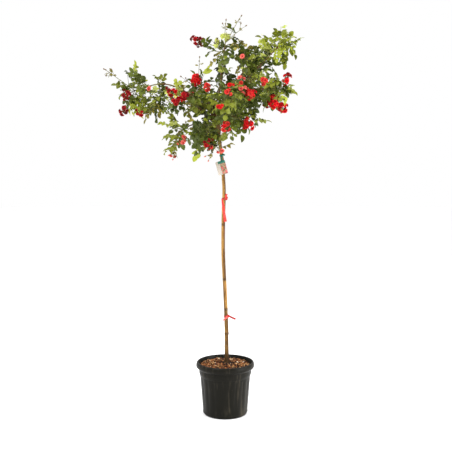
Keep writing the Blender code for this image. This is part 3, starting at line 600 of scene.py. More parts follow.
def cane_finish():
    """Young bark: olive green, flushed with brown and red, with pale pores."""
    own = settings("stem")
    made = Finish("cane_bark", specular_ior_level=0.28)
    patches = made.noise(22.0, (1, 1, 1), 3.0)
    pores = made.step(made.noise(420.0, detail=1.0), 0.66, 0.74)
    base = made.mix(made.step(patches, 0.42, 0.62), linear(own.cane), linear((0.36, 0.22, 0.13)))
    made.colour(made.mix(pores * 0.5, base, linear((0.66, 0.58, 0.40))))
    made.rough(0.52 + patches * 0.2)
    made.bump(made.noise(500.0, detail=3.0) + pores, 0.35, 0.0005)
    return made.material


LEAF_TONES = {
    "deep": (0.235, 0.275, 0.055),
    "dark": (0.31, 0.355, 0.08),
    "mid": (0.44, 0.47, 0.125),
    "bright": (0.575, 0.61, 0.17),
    "yellow": (0.64, 0.69, 0.24),
    "pale": (0.71, 0.74, 0.36),
    "olive": (0.51, 0.475, 0.19),
}
TONE_NAMES = list(LEAF_TONES)

# Each bloom colour: its outer petals and its inner ones.
BLOOM_TINTS = {
    "maroon": ((0.56, 0.09, 0.10), (0.48, 0.07, 0.085)),
    "crimson": ((0.66, 0.075, 0.10), (0.58, 0.055, 0.085)),
    "scarlet": ((0.82, 0.075, 0.095), (0.75, 0.050, 0.080)),
    "coral": ((0.83, 0.23, 0.20), (0.78, 0.16, 0.15)),
    "salmon": ((0.88, 0.43, 0.38), (0.84, 0.32, 0.29)),
    "blush": ((0.92, 0.74, 0.65), (0.90, 0.62, 0.54)),
    "russet": ((0.42, 0.27, 0.17), (0.34, 0.20, 0.13)),
}
TINT_NAMES = list(BLOOM_TINTS)


def leaf_finish(name, colour):
    """One tone of leaf: the colour is even, and the blade is faintly puckered between veins."""
    made = Finish("leaf_" + name, roughness=0.50, specular_ior_level=0.24)
    made.colour(linear(colour))
    where = made.node("ShaderNodeUVMap")
    across = made.axis(where, "X")
    along = made.axis(where, "Y")
    from_rib = abs(across)
    veins = ((along - from_rib * 0.35) * 44.0).sine()
    made.bump(veins * 0.5 + made.step(from_rib, 0.0, 0.10) * 1.2, 0.35, 0.0006)
    return made.material


def petal_finish(name, colour):
    """One tone of petal: soft, with a faint velvet and fine ribs from base to edge."""
    made = Finish("petal_" + name, roughness=0.62, specular_ior_level=0.12, sheen_weight=0.04)
    made.colour(linear(colour))
    made.bump(made.noise(700.0, detail=2.0), 0.25, 0.0004)
    return made.material


def green_finish(name, colour, roughness=0.55):
    """Green stalks and sepals, with small darker flecks."""
    made = Finish(name, roughness=roughness)
    dark = tuple(c * 0.6 for c in linear(colour))
    made.colour(made.mix(made.step(made.noise(190.0), 0.42, 0.62), linear(colour), dark))
    made.bump(made.noise(800.0), 0.2, 0.0003)
    return made.material


def tape_finish(name, shade):
    """Stretchy tie tape: a crinkled film, with painted shade in its hollows and a painted highlight on
    its ridges. shade is 1 when fresh, less in folds, more where thin.
    """
    own = settings("trim")
    made = Finish(name, roughness=0.38, specular_ior_level=0.35)
    crinkle = made.noise(190.0, (1, 1, 0.5), 4.0, 0.65)
    fresh = tuple(min(1.0, c * shade + max(0.0, shade - 1) * 0.30) for c in linear(own.tape))
    pale = tuple(min(1.0, c * 1.15 + 0.03) for c in fresh)
    dark = tuple(c * 0.70 for c in fresh)
    # Painted shade in the crinkle's hollows and a painted highlight on its ridges, where the bump lies
    # low and high.
    base = made.mix(made.step(crinkle, 0.30, 0.50), dark, fresh)
    made.colour(made.mix(made.step(crinkle, 0.52, 0.72), base, pale))
    made.rough(0.30 + crinkle * 0.25)
    made.bump(crinkle, 0.7, 0.0012)
    return made.material


def card_finish():
    """The plain half of the label and its back: coated card, a little soiled."""
    own = settings("trim")
    made = Finish("label_card", roughness=0.42)
    soil = made.step(made.noise(60.0, detail=4.0), 0.48, 0.72)
    made.colour(made.mix(soil * 0.5, linear(own.card), linear((0.70, 0.66, 0.58))))
    made.bump(made.noise(400.0), 0.15, 0.0003)
    return made.material


def print_finish():
    """The printed half of the label: loose dabs of red and pink on soft green."""
    made = Finish("label_print", roughness=0.38)
    dabs = made.node("ShaderNodeTexVoronoi", sockets={"Vector": made.place(), "Scale": 95.0})
    lit = made.noise(150.0, detail=2.0)
    greens = linear((0.40, 0.36, 0.24)), linear((0.64, 0.54, 0.42))
    reds = linear((0.52, 0.10, 0.13)), linear((0.76, 0.38, 0.36))
    ground = made.mix(made.step(lit, 0.35, 0.65), *greens)
    petals = made.mix(made.step(lit, 0.40, 0.60), *reds)
    made.colour(made.mix(1 - made.step(dabs, 0.42, 0.58), ground, petals))
    made.bump(made.noise(400.0), 0.1, 0.0003)
    return made.material


# Meshes.


class Pile:
    """Many small shapes gathered into one mesh, with a finish and two extra numbers for each."""

    def __init__(self):
        self.points = []
        self.faces = []
        self.finishes = []
        self.places = []
        self.count = 0

    def add(self, points, faces, finish=0, places=None):
        """Adds points, and faces of four corners, or of three with -1 for the fourth."""
        self.points.append(points)
        self.faces.append(np.where(faces >= 0, faces + self.count, -1))
        self.finishes.append(np.full(len(faces), finish))
        self.places.append(np.zeros((len(points), 2)) if places is None else places)
        self.count += len(points)

    def build(self, name, materials, smooth_angle=None):
        """The pile as one object."""
        points = np.concatenate(self.points).astype(np.float32)
        faces = np.concatenate(self.faces).astype(np.int32)
        corners = faces[faces >= 0]
        sizes = (faces >= 0).sum(axis=1)
        starts = np.concatenate(([0], np.cumsum(sizes)[:-1])).astype(np.int32)
        mesh = bpy.data.meshes.new(name)
        mesh.vertices.add(len(points))
        mesh.vertices.foreach_set("co", points.ravel())
        mesh.loops.add(len(corners))
        mesh.loops.foreach_set("vertex_index", corners)
        mesh.polygons.add(len(faces))
        mesh.polygons.foreach_set("loop_start", starts)
        finishes = np.concatenate(self.finishes).astype(np.int32)
        mesh.polygons.foreach_set("material_index", finishes)
        layer = mesh.uv_layers.new(name="UVMap")
        places = np.concatenate(self.places).astype(np.float32)
        layer.data.foreach_set("uv", places[corners].ravel())
        for material in materials:
            mesh.materials.append(material)
        mesh.update(calc_edges=True)
        mesh.shade_smooth()
        if smooth_angle:
            mesh.set_sharp_from_angle(angle=math.radians(smooth_angle))
        made = bpy.data.objects.new(name, mesh)
        bpy.context.scene.collection.objects.link(made)
        return made


def grid_faces(rows, columns, closed=False):
    """Faces over rows of points, each of as many columns; closed joins each row's ends."""
    faces = []
    for row in range(rows - 1):
        for column in range(columns if closed else columns - 1):
            beside = (column + 1) % columns
            low = row * columns
            high = low + columns
            faces.append((low + column, low + beside, high + beside, high + column))
    return np.array(faces)


@lru_cache(maxsize=None)
def tube_faces(rings_count, sides):
    """Faces of a tube of rings, with a fan at its far end and one at its near end."""
    faces = grid_faces(rings_count, sides, closed=True).tolist()
    last = rings_count * sides
    for side in range(sides):
        beside = (side + 1) % sides
        faces.append((last - sides + side, last - sides + beside, last, -1))
        faces.append((beside, side, last + 1, -1))
    return np.array(faces)


@lru_cache(maxsize=None)
def unit_circle(sides):
    angles = np.arange(sides) * math.tau / sides
    return np.stack([np.cos(angles), np.sin(angles)], axis=1)


def frames_along(path):
    """For each point of a path, two unit vectors square to it that don't spin."""
    ahead = np.gradient(path, axis=0)
    ahead /= np.linalg.norm(ahead, axis=1, keepdims=True) + 1e-12
    side = np.cross(ahead[0], (0.3, 0.5, 0.81))
    sides = []
    for along in ahead:
        side = side - along * side.dot(along)
        side = side / (np.linalg.norm(side) + 1e-12)
        sides.append(side)
    sides = np.array(sides)
    return sides, np.cross(ahead, sides)


def add_tube(pile, path, radii, sides, finish=0):
    """A round limb along a path, closed at both ends."""
    path = np.asarray(path, float)
    radii = np.asarray(radii, float)
    right, up = frames_along(path)
    circle = unit_circle(sides)
    rings = path[:, None] + radii[:, None, None] * (
        right[:, None] * circle[None, :, :1] + up[:, None] * circle[None, :, 1:]
    )
    points = np.concatenate([rings.reshape(-1, 3), path[-1:], path[:1]])
    pile.add(points, tube_faces(len(path), sides), finish)


def curve(start, leave, arrive, end, steps):
    """Points along the cubic curve with these two handles."""
    points = []
    for step in range(steps + 1):
        t = step / steps
        s = 1 - t
        points.append(
            start * s**3 + leave * (3 * s * s * t) + arrive * (3 * s * t * t) + end * t**3
        )
    return points


def taper(first, last, count):
    """Radii that fall evenly from first to last."""
    return [first + (last - first) * index / (count - 1) for index in range(count)]


def finished(piece, slot, *nodes):
    """Rides a piece on the plant's one body, in place of its nodes."""
    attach(piece, "root")
    if nodes:
        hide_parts(*nodes)
    return piece


def bearing_vector(bearing):
    """The level direction at a bearing in degrees from +X."""
    return Vector((math.cos(math.radians(bearing)), math.sin(math.radians(bearing)), 0))


def seeded(mass, part):
    """The random numbers for one part of a mass."""
    return random.Random(f"{mass.name} {part} {SEED}")


def jitter(rng, reach):
    """A random vector in a cube of this half width."""
    return Vector(rng.uniform(-reach, reach) for _ in range(3))


def scatter(rng, spread):
    """Three random numbers round 0 with this deviation."""
    return np.array([rng.gauss(0, spread) for _ in range(3)])


# The plant's rule of growth, as in the frame.


def spins(heading, sides):
    """Even turns all the way round a heading."""
    return [Matrix.Rotation(turn * math.tau / sides, 3, heading) for turn in range(sides)]


def rings(levels):
    sides = len(levels[0])
    points = [point for level in levels for point in level]
    faces = [tuple(reversed(range(sides)))]
    for level in range(len(levels) - 1):
        for turn in range(sides):
            here = level * sides + turn
            beside = level * sides + (turn + 1) % sides
            faces.append((here, beside, beside + sides, here + sides))
    faces.append(tuple(range(len(points) - sides, len(points))))
    return points, faces


def tube(centres, radii, sides, leaving=None):
    heading = leaving or (centres[1] - centres[0]).normalized()
    side = heading.orthogonal().normalized()
    levels = []
    for index, (centre, radius) in enumerate(zip(centres, radii)):
        if index > 0:
            ahead = centres[min(index + 1, len(centres) - 1)]
            onward = (ahead - centres[index - 1]).normalized()
            side = heading.rotation_difference(onward) @ side
            heading = onward
        levels.append([centre + around @ side * radius for around in spins(heading, sides)])
    return rings(levels)


def leaf_frame(root, heading, facing):
    across = heading.cross(facing).normalized()
    lift = across.cross(heading).normalized()
    waist = root + heading * LEAF_LENGTH * LEAF_WAIST + lift * LEAF_FOLD
    half = across * LEAF_WIDTH / 2
    return [waist + half, waist - half, root + heading * LEAF_LENGTH], lift


def leaf(root, heading, facing):
    blade, _ = leaf_frame(root, heading, facing)
    return [root, *blade], [(0, 1, 2), (1, 3, 2), (0, 3, 1), (0, 2, 3)]


def leafy_twig(start, end, heading, facing):
    blade, lift = leaf_frame(end, heading, facing)
    points = []
    for centre, radius, along in (
        (start, TWIG_RADIUS, (end - start).normalized()),
        (end, TWIG_TIP_RADIUS, heading),
    ):
        side = (lift - along * along.dot(lift)).normalized() * radius
        points += [centre + around @ side for around in spins(along, 3)]
    points += blade
    foot, neck, edge, other_edge, tip = 0, 3, 6, 7, 8
    faces = [(foot, foot + 2, foot + 1)]
    for turn in range(3):
        beside = (turn + 1) % 3
        faces.append((foot + turn, foot + beside, neck + beside, neck + turn))
    faces += [(neck, edge, other_edge), (edge, tip, other_edge), (neck, neck + 1, edge)]
    faces += [(neck + 1, tip, edge), (neck + 1, neck + 2, tip)]
    faces += [(neck + 2, other_edge, tip), (neck + 2, neck, other_edge)]
    return points, faces


def spindle(foot, heading, length, radius, sides, waist):
    side = heading.orthogonal().normalized() * radius
    middle = foot + heading * length * waist
    waists = [middle + around @ side for around in spins(heading, sides)]
    points = [foot, *waists, foot + heading * length]
    faces = []
    for turn in range(sides):
        here = 1 + turn
        beside = 1 + (turn + 1) % sides
        faces.append((0, beside, here))
        faces.append((sides + 1, here, beside))
    return points, faces


def trunk_station(height):
    """The two trunk stations that a height lies between, and how far between them it is."""
    for low, high in zip(TRUNK_STATIONS, TRUNK_STATIONS[1:]):
        if height <= high[0]:
            break
    return low, high, (height - low[0]) / (high[0] - low[0])


def trunk_centre(height):
    low, high, part = trunk_station(height)
    return Vector((low[1] + (high[1] - low[1]) * part, 0, height))


def trunk_radius(height):
    low, high, part = trunk_station(height)
    return low[2] + (high[2] - low[2]) * part


def flared(radius, height, angle):
    """The trunk's radius in one direction, with the lobes of its root flare."""
    lobes = max(0.0, (FLARE_HEIGHT - height) / (FLARE_HEIGHT - MULCH_CROWN))
    return radius * (1 + FLARE_DEPTH * lobes * math.cos(FLARE_LOBES * angle))


def trunk_shape():
    levels = []
    for height, lean, radius in TRUNK_STATIONS:
        level = []
        for side in range(TRUNK_SIDES):
            angle = side * math.tau / TRUNK_SIDES
            reach = flared(radius, height, angle)
            place = (lean + reach * math.cos(angle), reach * math.sin(angle), height)
            level.append(Vector(place))
        levels.append(level)
    return rings(levels)


def seat(surface, root, heading, radius):
    """How far out along its heading a limb starts, so that its whole end clears the trunk."""
    side = heading.orthogonal().normalized() * radius
    tests = [root]
    for part in (0.35, 0.7, 1):
        tests += [root + around @ side * part for around in spins(heading, 24)]
    far = heading * 0.2
    hits = [surface.ray_cast(test + far, -heading)[0] for test in tests]
    return max((hit - root).dot(heading) for hit in hits if hit is not None) + GAP


def out_of(mass, point):
    """How far out a point lies in a mass: 0 at the centre and 1 on its skin."""
    parts = [(p - c) / r for p, c, r in zip(point, mass.centre, mass.reach)]
    return math.sqrt(sum(part * part for part in parts))


def inside(mass, offset):
    """The point at an offset in units of the mass's reach."""
    return Vector(c + o * r for c, o, r in zip(mass.centre, offset, mass.reach))


def cane_handles(mass, surface):
    """The four handles of the cane that runs from the graft into a mass, and how it leaves."""
    leave_at, bearing, lift, sway = mass.cane
    root = trunk_centre(GRAFT_FOOT + (GRAFT_TOP - GRAFT_FOOT) * leave_at)
    centre = Vector(mass.centre)
    level = bearing_vector(bearing)
    back = Vector((root - centre)[axis] / mass.reach[axis] for axis in range(3)).normalized()
    if lift < 0.9:
        back = (back + UP * 0.5).normalized()
    end = inside(mass, back * CANE_ENTRY)
    heading = (level + UP * lift).normalized()
    start = root + heading * seat(surface, root, heading, CANE_RADIUS)
    span = (end - start).length * 0.38
    arriving = (centre - end).normalized()
    aside = UP.cross(level) * sway
    return (start, start + heading * span, end - arriving * span + aside, end), heading


def grown(shape):
    points, faces = shape
    middle = sum(points, Vector()) / len(points)
    return [point + (point - middle).normalized() * CLEARANCE for point in points], faces


def tree_of(shapes):
    points = []
    faces = []
    for shape_points, shape_faces in shapes:
        first = len(points)
        points += shape_points
        faces += [tuple(first + index for index in face) for face in shape_faces]
    return BVHTree.FromPolygons(points, faces)


def misses(shape, surroundings):
    return not tree_of([grown(shape)]).overlap(surroundings)


def branch_point(stem, target):
    steps = len(stem) - 1
    places = [stem[int(k)].lerp(stem[int(k) + 1], k % 1) for k in (n / 4 for n in range(4 * steps))]
    nearest = min(range(len(places)), key=lambda n: (places[n] - target).length)
    return places[max(1, nearest - 4)]


def turned(along, tilt, turn):
    """The direction tilted from along and turned about it, in radians."""
    leaning = Matrix.Rotation(tilt, 3, along.orthogonal()) @ along
    return (Matrix.Rotation(turn, 3, along) @ leaning).normalized()


def leafiness(mass):
    """A mass's share of leaves, from its size beside the common one."""
    x, y, z = mass.reach
    return (x * y * z / (0.07 * 0.11 * 0.08)) ** (2 / 3)


# Radii of the finished limbs, at their foot and tip.
STEM_END = 0.0014
SHOOT_RADII = (0.0021, 0.0011)
TWIG_RADII = (0.0019, 0.0010)
FINE_RADII = (0.0014, 0.0007)
SPRIG_RADII = (0.0013, 0.0008)
GRAFT_SPRIG_RADII = (0.0015, 0.0008)
STEM_BEYOND = 0.020  # how far a finished stem runs on past its solid
STEM_TRIES = 60


@dataclass
class Limb:
    """A limb of wood to be dressed: its path, its two radii and its kind."""

    path: list
    first: float
    last: float
    kind: str


@dataclass
class Leaf:
    """A leaf: where it starts, where it points and faces, its tone and its size."""

    root: Vector
    heading: Vector
    facing: Vector
    tone: int
    size: float = 1.0  # of a common leaf


@dataclass
class Flower:
    """A bloom or a bud: the foot of its stalk, where it points, its tint and its size."""

    foot: Vector
    heading: Vector
    tint: int
    size: float = 1.0


def by_mass():
    """An empty list for each mass."""
    return {mass.name: [] for mass in MASSES}


class Growth:
    """All that grows: the solids' shapes, which keep the masses apart, and what dresses them."""

    def __init__(self, trunk):
        self.trunk = trunk
        self.canes = {}
        self.shapes = by_mass()
        self.middles = by_mass()
        self.limbs = by_mass()
        self.leaves = by_mass()
        self.flowers = by_mass()
        self.buds = by_mass()

    def wood(self):
        return [self.trunk, *self.canes.values()]

    def around(self, mass):
        others = [shape for name, made in self.shapes.items() if name != mass.name for shape in made]
        return tree_of(self.wood() + others)

    def clear_of_own(self, mass, shape, rooted):
        points, faces = shape
        tip = points[-1]
        outer = [tip + (point - tip) * (1 - rooted) for point in points]
        return not tree_of([(outer, faces)]).overlap(tree_of(self.shapes[mass.name]))

    def keeps(self, mass, points, shoot_tip=None, edge=SPACE_EDGE):
        """Whether points stay in their mass's own space, or near the end of their own shoot."""
        for point in points:
            if shoot_tip is not None and (point - shoot_tip).length < SHOOT_ROOM:
                continue
            own = out_of(mass, point)
            if own > edge:
                return False
            for other in MASSES:
                if other is not mass and out_of(other, point) < own + SPACE_MARGIN:
                    return False
        return True


def tone_picker(mass, rng):
    """Leaf tones for a mass's sprays, its first tone the commonest."""
    names = mass.tones.split()
    weights = (5, 3, 2)[: len(names)]
    return lambda: TONE_NAMES.index(rng.choices(names, weights)[0])


def tint_of(mass, shoot, rng):
    """A bloom's tint: its shoot's own, and now and then a neighbour's."""
    words = mass.tints.split()
    own = TINT_NAMES.index(words[shoot] if shoot < len(words) else words[-1])
    drift = rng.random()
    if drift < 0.13:
        return max(0, own - 1)
    if drift > 0.87:
        return min(TINT_NAMES.index("blush"), own + 1)
    return own


def grow_stem(mass, start, heading, growth):
    """The mass's stem: it leaves on its cane's line and curves to the far side of the mass."""
    rng = seeded(mass, "stem")
    surroundings = growth.around(mass)
    radius = CANE_TIP_RADIUS
    centre = Vector(mass.centre)
    for _ in range(STEM_TRIES):
        onward = (centre - start).normalized() + jitter(rng, 0.45)
        far = inside(mass, onward.normalized() * 0.6)
        span = (far - start).length * 0.4
        handles = (start, start + heading * span, centre + (far - centre) * 0.2, far)
        centres = curve(*handles, STEM_STEPS)
        shape = tube(centres, taper(radius, STEM_TIP_RADIUS, len(centres)), 3, heading)
        clear = tube(centres[1:], [radius + CLEARANCE] * (len(centres) - 1), 3)
        if misses(clear, surroundings):
            growth.shapes[mass.name].append(shape)
            fine = curve(*handles, 4 * STEM_STEPS)
            beyond = fine[-1] + (fine[-1] - fine[-2]).normalized() * STEM_BEYOND
            growth.limbs[mass.name].append(Limb([*fine, beyond], radius, STEM_END, "stem"))
            return centres
    raise RuntimeError(f"no clear way for the stem of {mass.name}")


def grow_shoots(mass, stem, growth):
    """Bare shoots to their set ends, with their blooms and buds. Returns the shoots."""
    rng = seeded(mass, "dress")
    surroundings = growth.around(mass)
    shapes = growth.shapes[mass.name]
    shoots = []
    for kind, short_by, leafy_to in SHOOT_KINDS:
        for number, (*offset, count) in enumerate(getattr(mass, kind)):
            target = inside(mass, offset)
            start = branch_point(stem, target)
            along = (target - start).normalized()
            tip = target - along * short_by
            shoot = tube([start, tip], [TWIG_RADIUS, TWIG_TIP_RADIUS], 3)
            if not misses(shoot, surroundings):
                continue
            shapes.append(shoot)
            growth.limbs[mass.name].append(Limb([start, tip], *SHOOT_RADII, "shoot"))
            shoots.append((start, start.lerp(tip, leafy_to), count if kind == "tufts" else 0, tip))
            if kind == "tufts":
                continue
            for index in range(count):
                first_tilt, tilt, short, spacing, spindle_size = HEADS[kind]
                leaning = math.radians(tilt if index else first_tilt)
                heading = turned(along, leaning, index * GOLDEN_ANGLE)
                foot = tip - along * (short + index * spacing)
                shape = spindle(foot, heading, *spindle_size)
                size = rng.uniform(0.86, 1.04)
                if misses(shape, surroundings) and growth.clear_of_own(mass, shape, 0.5):
                    shapes.append(shape)
                    growth.middles[mass.name].append(shape[0][0].lerp(shape[0][-1], 0.6))
                else:
                    size *= CROWDED_SIZE
                if kind == "blooms":
                    tint = tint_of(mass, number, rng)
                    growth.flowers[mass.name].append(Flower(foot, heading, tint, size))
                else:
                    tint = TINT_NAMES.index(mass.bud_tint)
                    growth.buds[mass.name].append(Flower(foot, heading, tint, size))
                    bract = turned(along, 0.9, index * GOLDEN_ANGLE + 1.5)
                    olive = TONE_NAMES.index("olive")
                    growth.leaves[mass.name].append(Leaf(foot, bract, UP, olive, BRACT_SIZE))
    return shoots


def even_aims(count, spin):
    """Directions spread evenly over a sphere."""
    for index in range(count):
        rise = 1 - 2 * (index + 0.5) / count
        flat = math.sqrt(1 - rise * rise)
        angle = spin + index * GOLDEN_ANGLE
        yield Vector((flat * math.cos(angle), flat * math.sin(angle), rise))


def grow_twigs(mass, stem, growth):
    """Twigs, each with a leaf at its end, that aim evenly at the mass's skin."""
    rng = seeded(mass, "twigs")
    tone = tone_picker(mass, seeded(mass, "tones"))
    centre = Vector(mass.centre)
    surroundings = growth.around(mass)
    spin = rng.uniform(0, math.tau)
    twigs = []
    for aim in even_aims(TWIGS_PER_MASS, spin):
        for attempt in range(TWIG_TRIES):
            end = inside(mass, aim * TWIG_REACH * (1 - 0.5 * attempt / TWIG_TRIES))
            start = branch_point(stem, end)
            outward = (end - centre).normalized()
            along = (outward - UP * 0.3).normalized()
            heading = turned(along, rng.uniform(0.2, 1.2), rng.uniform(0, 7))
            facing = (outward + UP * 0.4).normalized()
            shape = leafy_twig(start, end, heading, facing)
            fits = growth.keeps(mass, shape[0]) and misses(shape, surroundings)
            if fits and growth.clear_of_own(mass, shape, 0.3):
                growth.shapes[mass.name].append(shape)
                growth.middles[mass.name].append(end + heading * LEAF_LENGTH / 2)
                growth.limbs[mass.name].append(Limb([start, end], *TWIG_RADII, "twig"))
                growth.leaves[mass.name].append(Leaf(end, heading, facing, tone()))
                twigs.append((start, end, 0, None))
                break
    return twigs


def leaf_places(mass, stem, twigs):
    """Leaves that a mass may carry: each one's root, heading, facing and its shoot's tip."""
    rng = seeded(mass, "leaves")
    centre = Vector(mass.centre)
    limbs = [(low, high, 0, None) for low, high in zip(stem, stem[1:])] + twigs
    for start, end, tuft, tip in limbs:
        along = (end - start).normalized()
        count = max(1, int((end - start).length / LEAF_SPACING))
        for index in range(count + tuft):
            place = start.lerp(end, min(0.97, 0.25 + 0.72 * (index + 0.5) / count))
            for _ in range(LEAF_TRIES):
                heading = turned(along, rng.uniform(0.35, 1.5), rng.uniform(0, math.tau))
                outward = (place + heading * LEAF_LENGTH - centre).normalized()
                facing = outward + UP * 0.5 + jitter(rng, 0.3)
                yield place, heading, facing.normalized(), tip


def grow_leaves(mass, stem, shoots, twigs, growth):
    """Leaves on the stem, shoots and twigs. Each next one goes where there is the most room."""
    tone = tone_picker(mass, seeded(mass, "more tones"))
    surroundings = growth.around(mass)
    middles = growth.middles[mass.name]
    ready = []
    for root, heading, facing, tip in leaf_places(mass, stem, shoots + twigs):
        shape = leaf(root - heading * LEAF_SINK, heading, facing)
        if growth.keeps(mass, shape[0], tip) and misses(shape, surroundings):
            middle = root + heading * LEAF_LENGTH / 2
            room = min(((middle - other).length for other in middles), default=1)
            ready.append([room, middle, shape, root, heading, facing])
    left = round(LEAVES_PER_MASS * leafiness(mass)) - len(twigs)
    while left > 0 and ready:
        best = max(ready, key=lambda entry: entry[0])
        ready.remove(best)
        _, middle, shape, root, heading, facing = best
        if not growth.clear_of_own(mass, shape, 0.25):
            continue
        growth.shapes[mass.name].append(shape)
        growth.leaves[mass.name].append(Leaf(root, heading, facing, tone()))
        middles.append(middle)
        left -= 1
        ready = [entry for entry in ready if (entry[3] - root).length > LEAF_APART]
        for entry in ready:
            entry[0] = min(entry[0], (entry[1] - middle).length)


FINE_LEAF_STEP = 0.024  # between leaves on a fine twig
FINE_LEAF_SIZES = (0.62, 0.95)  # of a common leaf, the smallest and the largest
SPRIG_LEAF_SIZES = (0.6, 0.85)
GRAFT_LEAF_SIZES = (0.6, 0.9)
FINE_EDGE = 1.10  # how far out in its mass a fine twig may reach
SPRIG_STEP = 0.042  # between sprigs along a cane
SPRIGS_FROM = 0.22  # the share of a cane below its first sprig
CROWDED_SIZE = 0.80  # of a bloom that its neighbours leave little room
GRAFT_SPRIGS = 34
GRAFT_SPRIGS_FROM = 1.375  # height of the lowest
ONE_SIDED_BELOW = 1.445  # the height below which sprigs all stand on the left and in front


def grow_fine_twigs(mass, growth):
    """Finer twigs from the mass's own limbs, with smaller leaves by turns along them."""
    rng = seeded(mass, "fine")
    pick = tone_picker(mass, rng)
    wood = tree_of(growth.wood())
    centre = Vector(mass.centre)
    starts = [
        low.lerp(high, quarter / 4)
        for limb in growth.limbs[mass.name]
        for low, high in zip(limb.path, limb.path[1:])
        for quarter in range(4)
    ]
    number = round(settings("foliage").fine_twigs * leafiness(mass) * mass.fullness)
    spin = rng.uniform(0, math.tau)
    for aim in even_aims(number, spin):
        end = inside(mass, aim * rng.uniform(0.72, 0.98))
        inner = end.lerp(centre, 0.45)
        start = min(starts, key=lambda point: (point - inner).length)
        length = (end - start).length
        if length < 0.02 or wood.ray_cast(start, (end - start).normalized(), length)[0]:
            continue
        sag = UP * length * rng.uniform(0.04, 0.14)
        path = curve(start, start.lerp(end, 0.35) + sag, start.lerp(end, 0.7) + sag, end, 5)
        if not growth.keeps(mass, path[2:], edge=FINE_EDGE):
            continue
        growth.limbs[mass.name].append(Limb(path, *FINE_RADII, "fine"))
        tone = pick()
        steps = max(1, round(length / FINE_LEAF_STEP))
        along = (end - start).normalized()
        turn = rng.uniform(0, math.tau)
        for step in range(steps + 1):
            place = path[min(5, 1 + round(4 * step / max(1, steps)))]
            last = step == steps
            tilt = 0.2 if last else rng.uniform(0.7, 1.3)
            heading = turned(along, tilt, turn + step * GOLDEN_ANGLE)
            heading = (heading - UP * 0.15).normalized()
            outward = (place + heading * LEAF_LENGTH - centre).normalized()
            facing = (outward * 0.7 + UP + jitter(rng, 0.5)).normalized()
            size = rng.uniform(*FINE_LEAF_SIZES)
            tip = place + heading * LEAF_LENGTH * size
            if not growth.keeps(mass, [tip], edge=SPACE_EDGE):
                continue
            shade = tone if rng.random() < 0.75 else pick()
            growth.leaves[mass.name].append(Leaf(place, heading, facing, shade, size))


def grow_cane_sprigs(mass, growth):
    """Short leafy shoots by turns along the bare part of the mass's cane."""
    rng = seeded(mass, "sprigs")
    pick = tone_picker(mass, rng)
    canes = [limb for limb in growth.limbs[mass.name] if limb.kind == "cane"]
    for limb in canes:
        last = len(limb.path) - 1
        length = sum((high - low).length for low, high in zip(limb.path, limb.path[1:]))
        count = round(length / SPRIG_STEP * mass.fullness)
        for index in range(count):
            where = SPRIGS_FROM + (0.98 - SPRIGS_FROM) * (index + rng.random()) / count
            low = min(last - 1, int(where * last))
            start = limb.path[low]
            along = (limb.path[low + 1] - start).normalized()
            heading = turned(along, rng.uniform(0.7, 1.2), index * GOLDEN_ANGLE)
            heading = (heading + UP * 0.35).normalized()
            reach = rng.uniform(0.018, 0.045)
            leave, arrive = start + heading * reach * 0.4, start + heading * reach * 0.8
            path = curve(start, leave, arrive, start + heading * reach - UP * 0.004, 4)
            growth.limbs[mass.name].append(Limb(path, *SPRIG_RADII, "fine"))
            tone = pick()
            for place, tilt in ((path[-1], 0.2), (path[2], 1.0)):
                leafward = turned(heading, tilt, rng.uniform(0, math.tau))
                facing = UP + jitter(rng, 0.6)
                size = rng.uniform(*SPRIG_LEAF_SIZES)
                made = Leaf(place, leafward, facing.normalized(), tone, size)
                growth.leaves[mass.name].append(made)


def grow_graft_sprigs(growth):
    """Leafy shoots all round the swollen graft, which hide most of it."""
    rng = random.Random(f"graft sprigs {SEED}")
    span = GRAFT_TOP - GRAFT_SPRIGS_FROM
    for index in range(GRAFT_SPRIGS):
        height = GRAFT_SPRIGS_FROM + span * (index + rng.random()) / GRAFT_SPRIGS
        angle = index * GOLDEN_ANGLE
        out = Vector((math.cos(angle), math.sin(angle), rng.uniform(-0.1, 0.7))).normalized()
        if height < ONE_SIDED_BELOW:
            out = Vector((-abs(out.x), -abs(out.y), out.z))
        start = trunk_centre(height) + out * trunk_radius(height) * 0.8
        reach = rng.uniform(0.025, 0.06)
        leave, arrive = start + out * reach * 0.4, start + out * reach * 0.8
        path = curve(start, leave, arrive, start + out * reach, 4)
        growth.limbs["neck"].append(Limb(path, *GRAFT_SPRIG_RADII, "fine"))
        for place, tilt in ((path[-1], 0.3), (path[2], 1.0)):
            facing = (UP + jitter(rng, 0.6)).normalized()
            heading = turned(out, tilt, rng.uniform(0, math.tau))
            tone = TONE_NAMES.index(rng.choice(("dark", "mid", "olive", "deep")))
            size = rng.uniform(*GRAFT_LEAF_SIZES)
            growth.leaves["neck"].append(Leaf(place, heading, facing, tone, size))


def hides_label(made):
    """Whether a leaf would hang before the label or its strap."""
    tip = made.root + made.heading * LEAF_LENGTH * made.size
    level = (made.root + tip) / 2
    aside = abs(level.x - trunk_centre(TAG_HANGER_HEIGHT).x)
    return level.y < 0 and aside < TAG_WIDTH and level.z < TAG_HANGER_HEIGHT + 0.025


